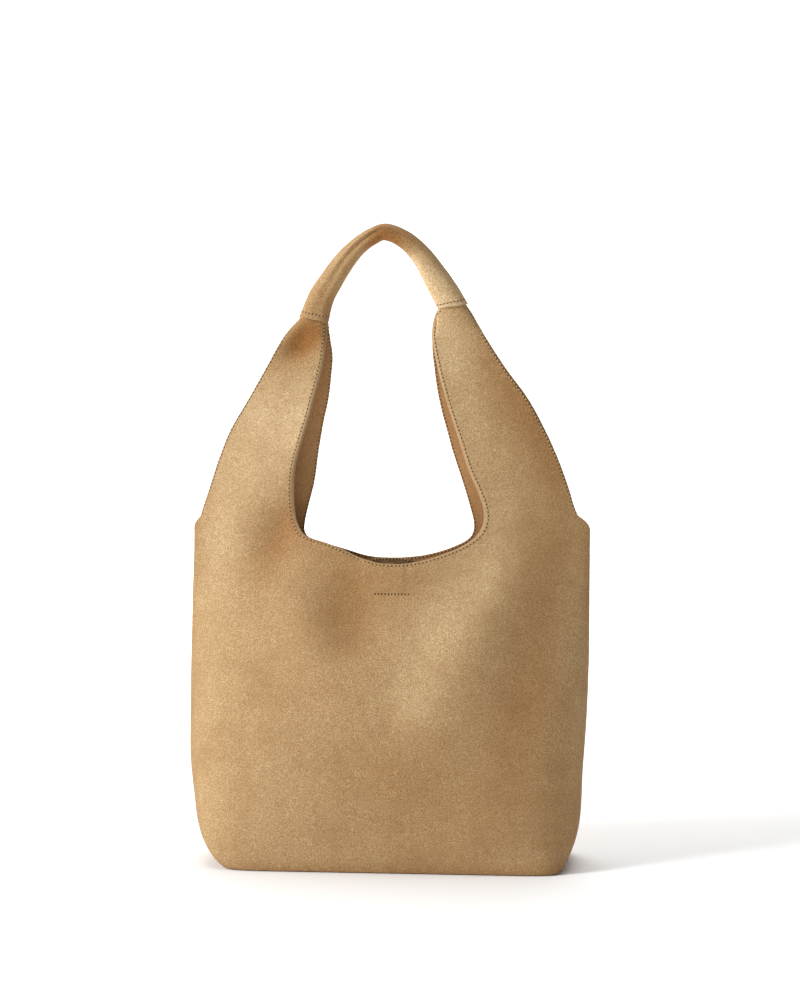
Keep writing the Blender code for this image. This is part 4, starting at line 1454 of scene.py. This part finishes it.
def pocket_run(left, right, low, high, samples=400):
    """A closed oblong run of stitches on the pocket's front."""
    corners = [(left, low), (right, low), (right, high), (left, high), (left, low)]
    x, z = resampled(corners, np.linspace(0, 1, samples)).T
    line = np.stack([x, pocket_y(x, z) - 0.05, z], axis=1)
    return line, np.tile((0.0, -1.0, 0.0), (samples, 1))


pocket_stitches = sewn("pocket_topstitch", [
    pocket_run(-SLOT_X - TAPE_SEW, SLOT_X + TAPE_SEW, SLOT_LOW - TAPE_SEW, SLOT_HIGH + TAPE_SEW),
    pocket_run(POCKET_LEFT + BORDER_SEW, POCKET_RIGHT - BORDER_SEW,
               POCKET_LOW + BORDER_SEW, POCKET_HIGH - 7.4),
], pitch=3.0)


def cloth_strip(name, x, z, front, rear, material, roll=0.3):
    """A soft-edged strip between a front and a rear surface, each given as
    a constant Y or as a function of x and z."""
    columns, levels = np.meshgrid(x, z, indexing="ij")
    edge = np.zeros(columns.shape)
    edge[[0, -1], :] = roll
    edge[:, [0, -1]] = roll
    sides = []
    for surface, toward in ((front, 1), (rear, -1)):
        y = surface(columns, levels) if callable(surface) else np.full(columns.shape, surface)
        sides.append(np.stack([columns, y + toward * edge, levels], axis=-1))
    return shell(name, *sides, [material] * 3)


def before_wall(x, z):
    """Y just clear of the back wall."""
    return inner_y(x, z, 1) - 0.5


wide = np.linspace(POCKET_LEFT, POCKET_RIGHT, 60)
rear_cloth = cloth_strip(
    "pocket_rear_cloth", wide, np.linspace(POCKET_LOW, POCKET_HIGH, 50),
    POCKET_REAR + 0.3, POCKET_REAR + 1.1, pocket_cloth)
hanger = cloth_strip(
    "pocket_hanger_suede", wide, np.linspace(222, POCKET_HIGH, 10),
    POCKET_REAR + 1.4, before_wall, facing)
for obj, node, slot in (
    (pocket, "pocket_front", "pocket_cloth"),
    (rear_cloth, "pocket_rear", "pocket_cloth"),
    (hanger, "pocket_hanger", "facing_leather"),
):
    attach(obj, "bag")
    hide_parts(node)
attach(pocket_stitches, "bag")
print("pocket hung from", hanger.name)

# %% [markdown]
# The zip's tapes are woven strips, and its coils are two long nylon springs
# sewn to them. One turn of the spring is modelled from a ring and copied
# along the zip. The slider, its puller and the stops are cast metal.

# %% Zip
COIL_PITCH, COIL_OUT, COIL_BACK = 1.25, 1.75, 1.6
TAPE_NEAR, TAPE_FAR, TAPE_PAST = 2.9, 13, 6


def woven_front(x, z):
    """Y of the tapes' face, with the faint ribs of their weave."""
    return POCKET_FRONT + 1.32 + 0.08 * np.sin(x * 1.3)


for word, way in (("upper", 1), ("lower", -1)):
    low, high = sorted((ZIP_Z + way * TAPE_NEAR, ZIP_Z + way * TAPE_FAR))
    tape_x = np.linspace(-ZIP_HALF - TAPE_PAST, ZIP_HALF + TAPE_PAST, 120)
    tape = cloth_strip(
        "zip_tape_cloth_" + word, tape_x, np.linspace(low, high, 10),
        woven_front, POCKET_FRONT + 2.0, tape_cloth, roll=0.12)
    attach(tape, "bag")
    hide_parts("zip_tape_" + word)

deselect_all()
bpy.ops.mesh.primitive_torus_add(
    major_radius=0.62, minor_radius=0.24, major_segments=10, minor_segments=5,
    rotation=(0, math.pi / 2, 0))
bpy.ops.object.transform_apply(rotation=True)
bpy.ops.object.mode_set(mode="EDIT")
bpy.ops.mesh.select_all(action="SELECT")
bpy.ops.transform.resize(value=(1.0, 0.85, 1.0))
bpy.ops.object.mode_set(mode="OBJECT")
turn_points, turn_faces = mesh_arrays(bpy.context.object)
places = np.arange(-ZIP_HALF + 0.8, ZIP_HALF, COIL_PITCH)
for word, way in (("upper", 1), ("lower", -1)):
    points = [turn_points + (x, POCKET_FRONT + COIL_BACK, ZIP_Z + way * COIL_OUT) for x in places]
    faces = copied_faces(turn_faces, len(turn_points), len(places))
    spring = new_piece("zip_spring_" + word, points, faces, [nylon])
    spring.data.polygons.foreach_set("use_smooth", [True] * len(faces))
    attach(spring, "bag")
    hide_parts("zip_coil_" + word)
for word in ("left", "right"):
    finished_copy("zip_stop_" + word, "zip_stop_brass_" + word, "bag", brass, 0.25)
finished_copy("zip_slider", "zip_slider_brass", "slider", brass, 0.22)
finished_copy("zip_puller", "zip_puller_brass", "puller", brass, 0.2)
print("zip: two springs of", len(places), "turns")

# %% Hidden parts
for node, material in (("base_stiffener", board), ("handle_core", cord_cotton)):
    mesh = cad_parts[node].data
    mesh.materials.clear()
    mesh.materials.append(material)
print("board and cord finished")

# %% [markdown]
# ## Panels baked in place
#
# The ears are part of the big panels, and the handle swings over them. Each panel and its stitches
# have their transform baked into their points, and the frame's own panels are hidden.

# %% Panels baked in place
for panel, stitches, node in (
    (front_panel, front_stitches, "front_panel"), (back_panel, back_stitches, "back_panel"),
):
    for obj in (panel, stitches):
        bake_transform(obj)
    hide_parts(node)
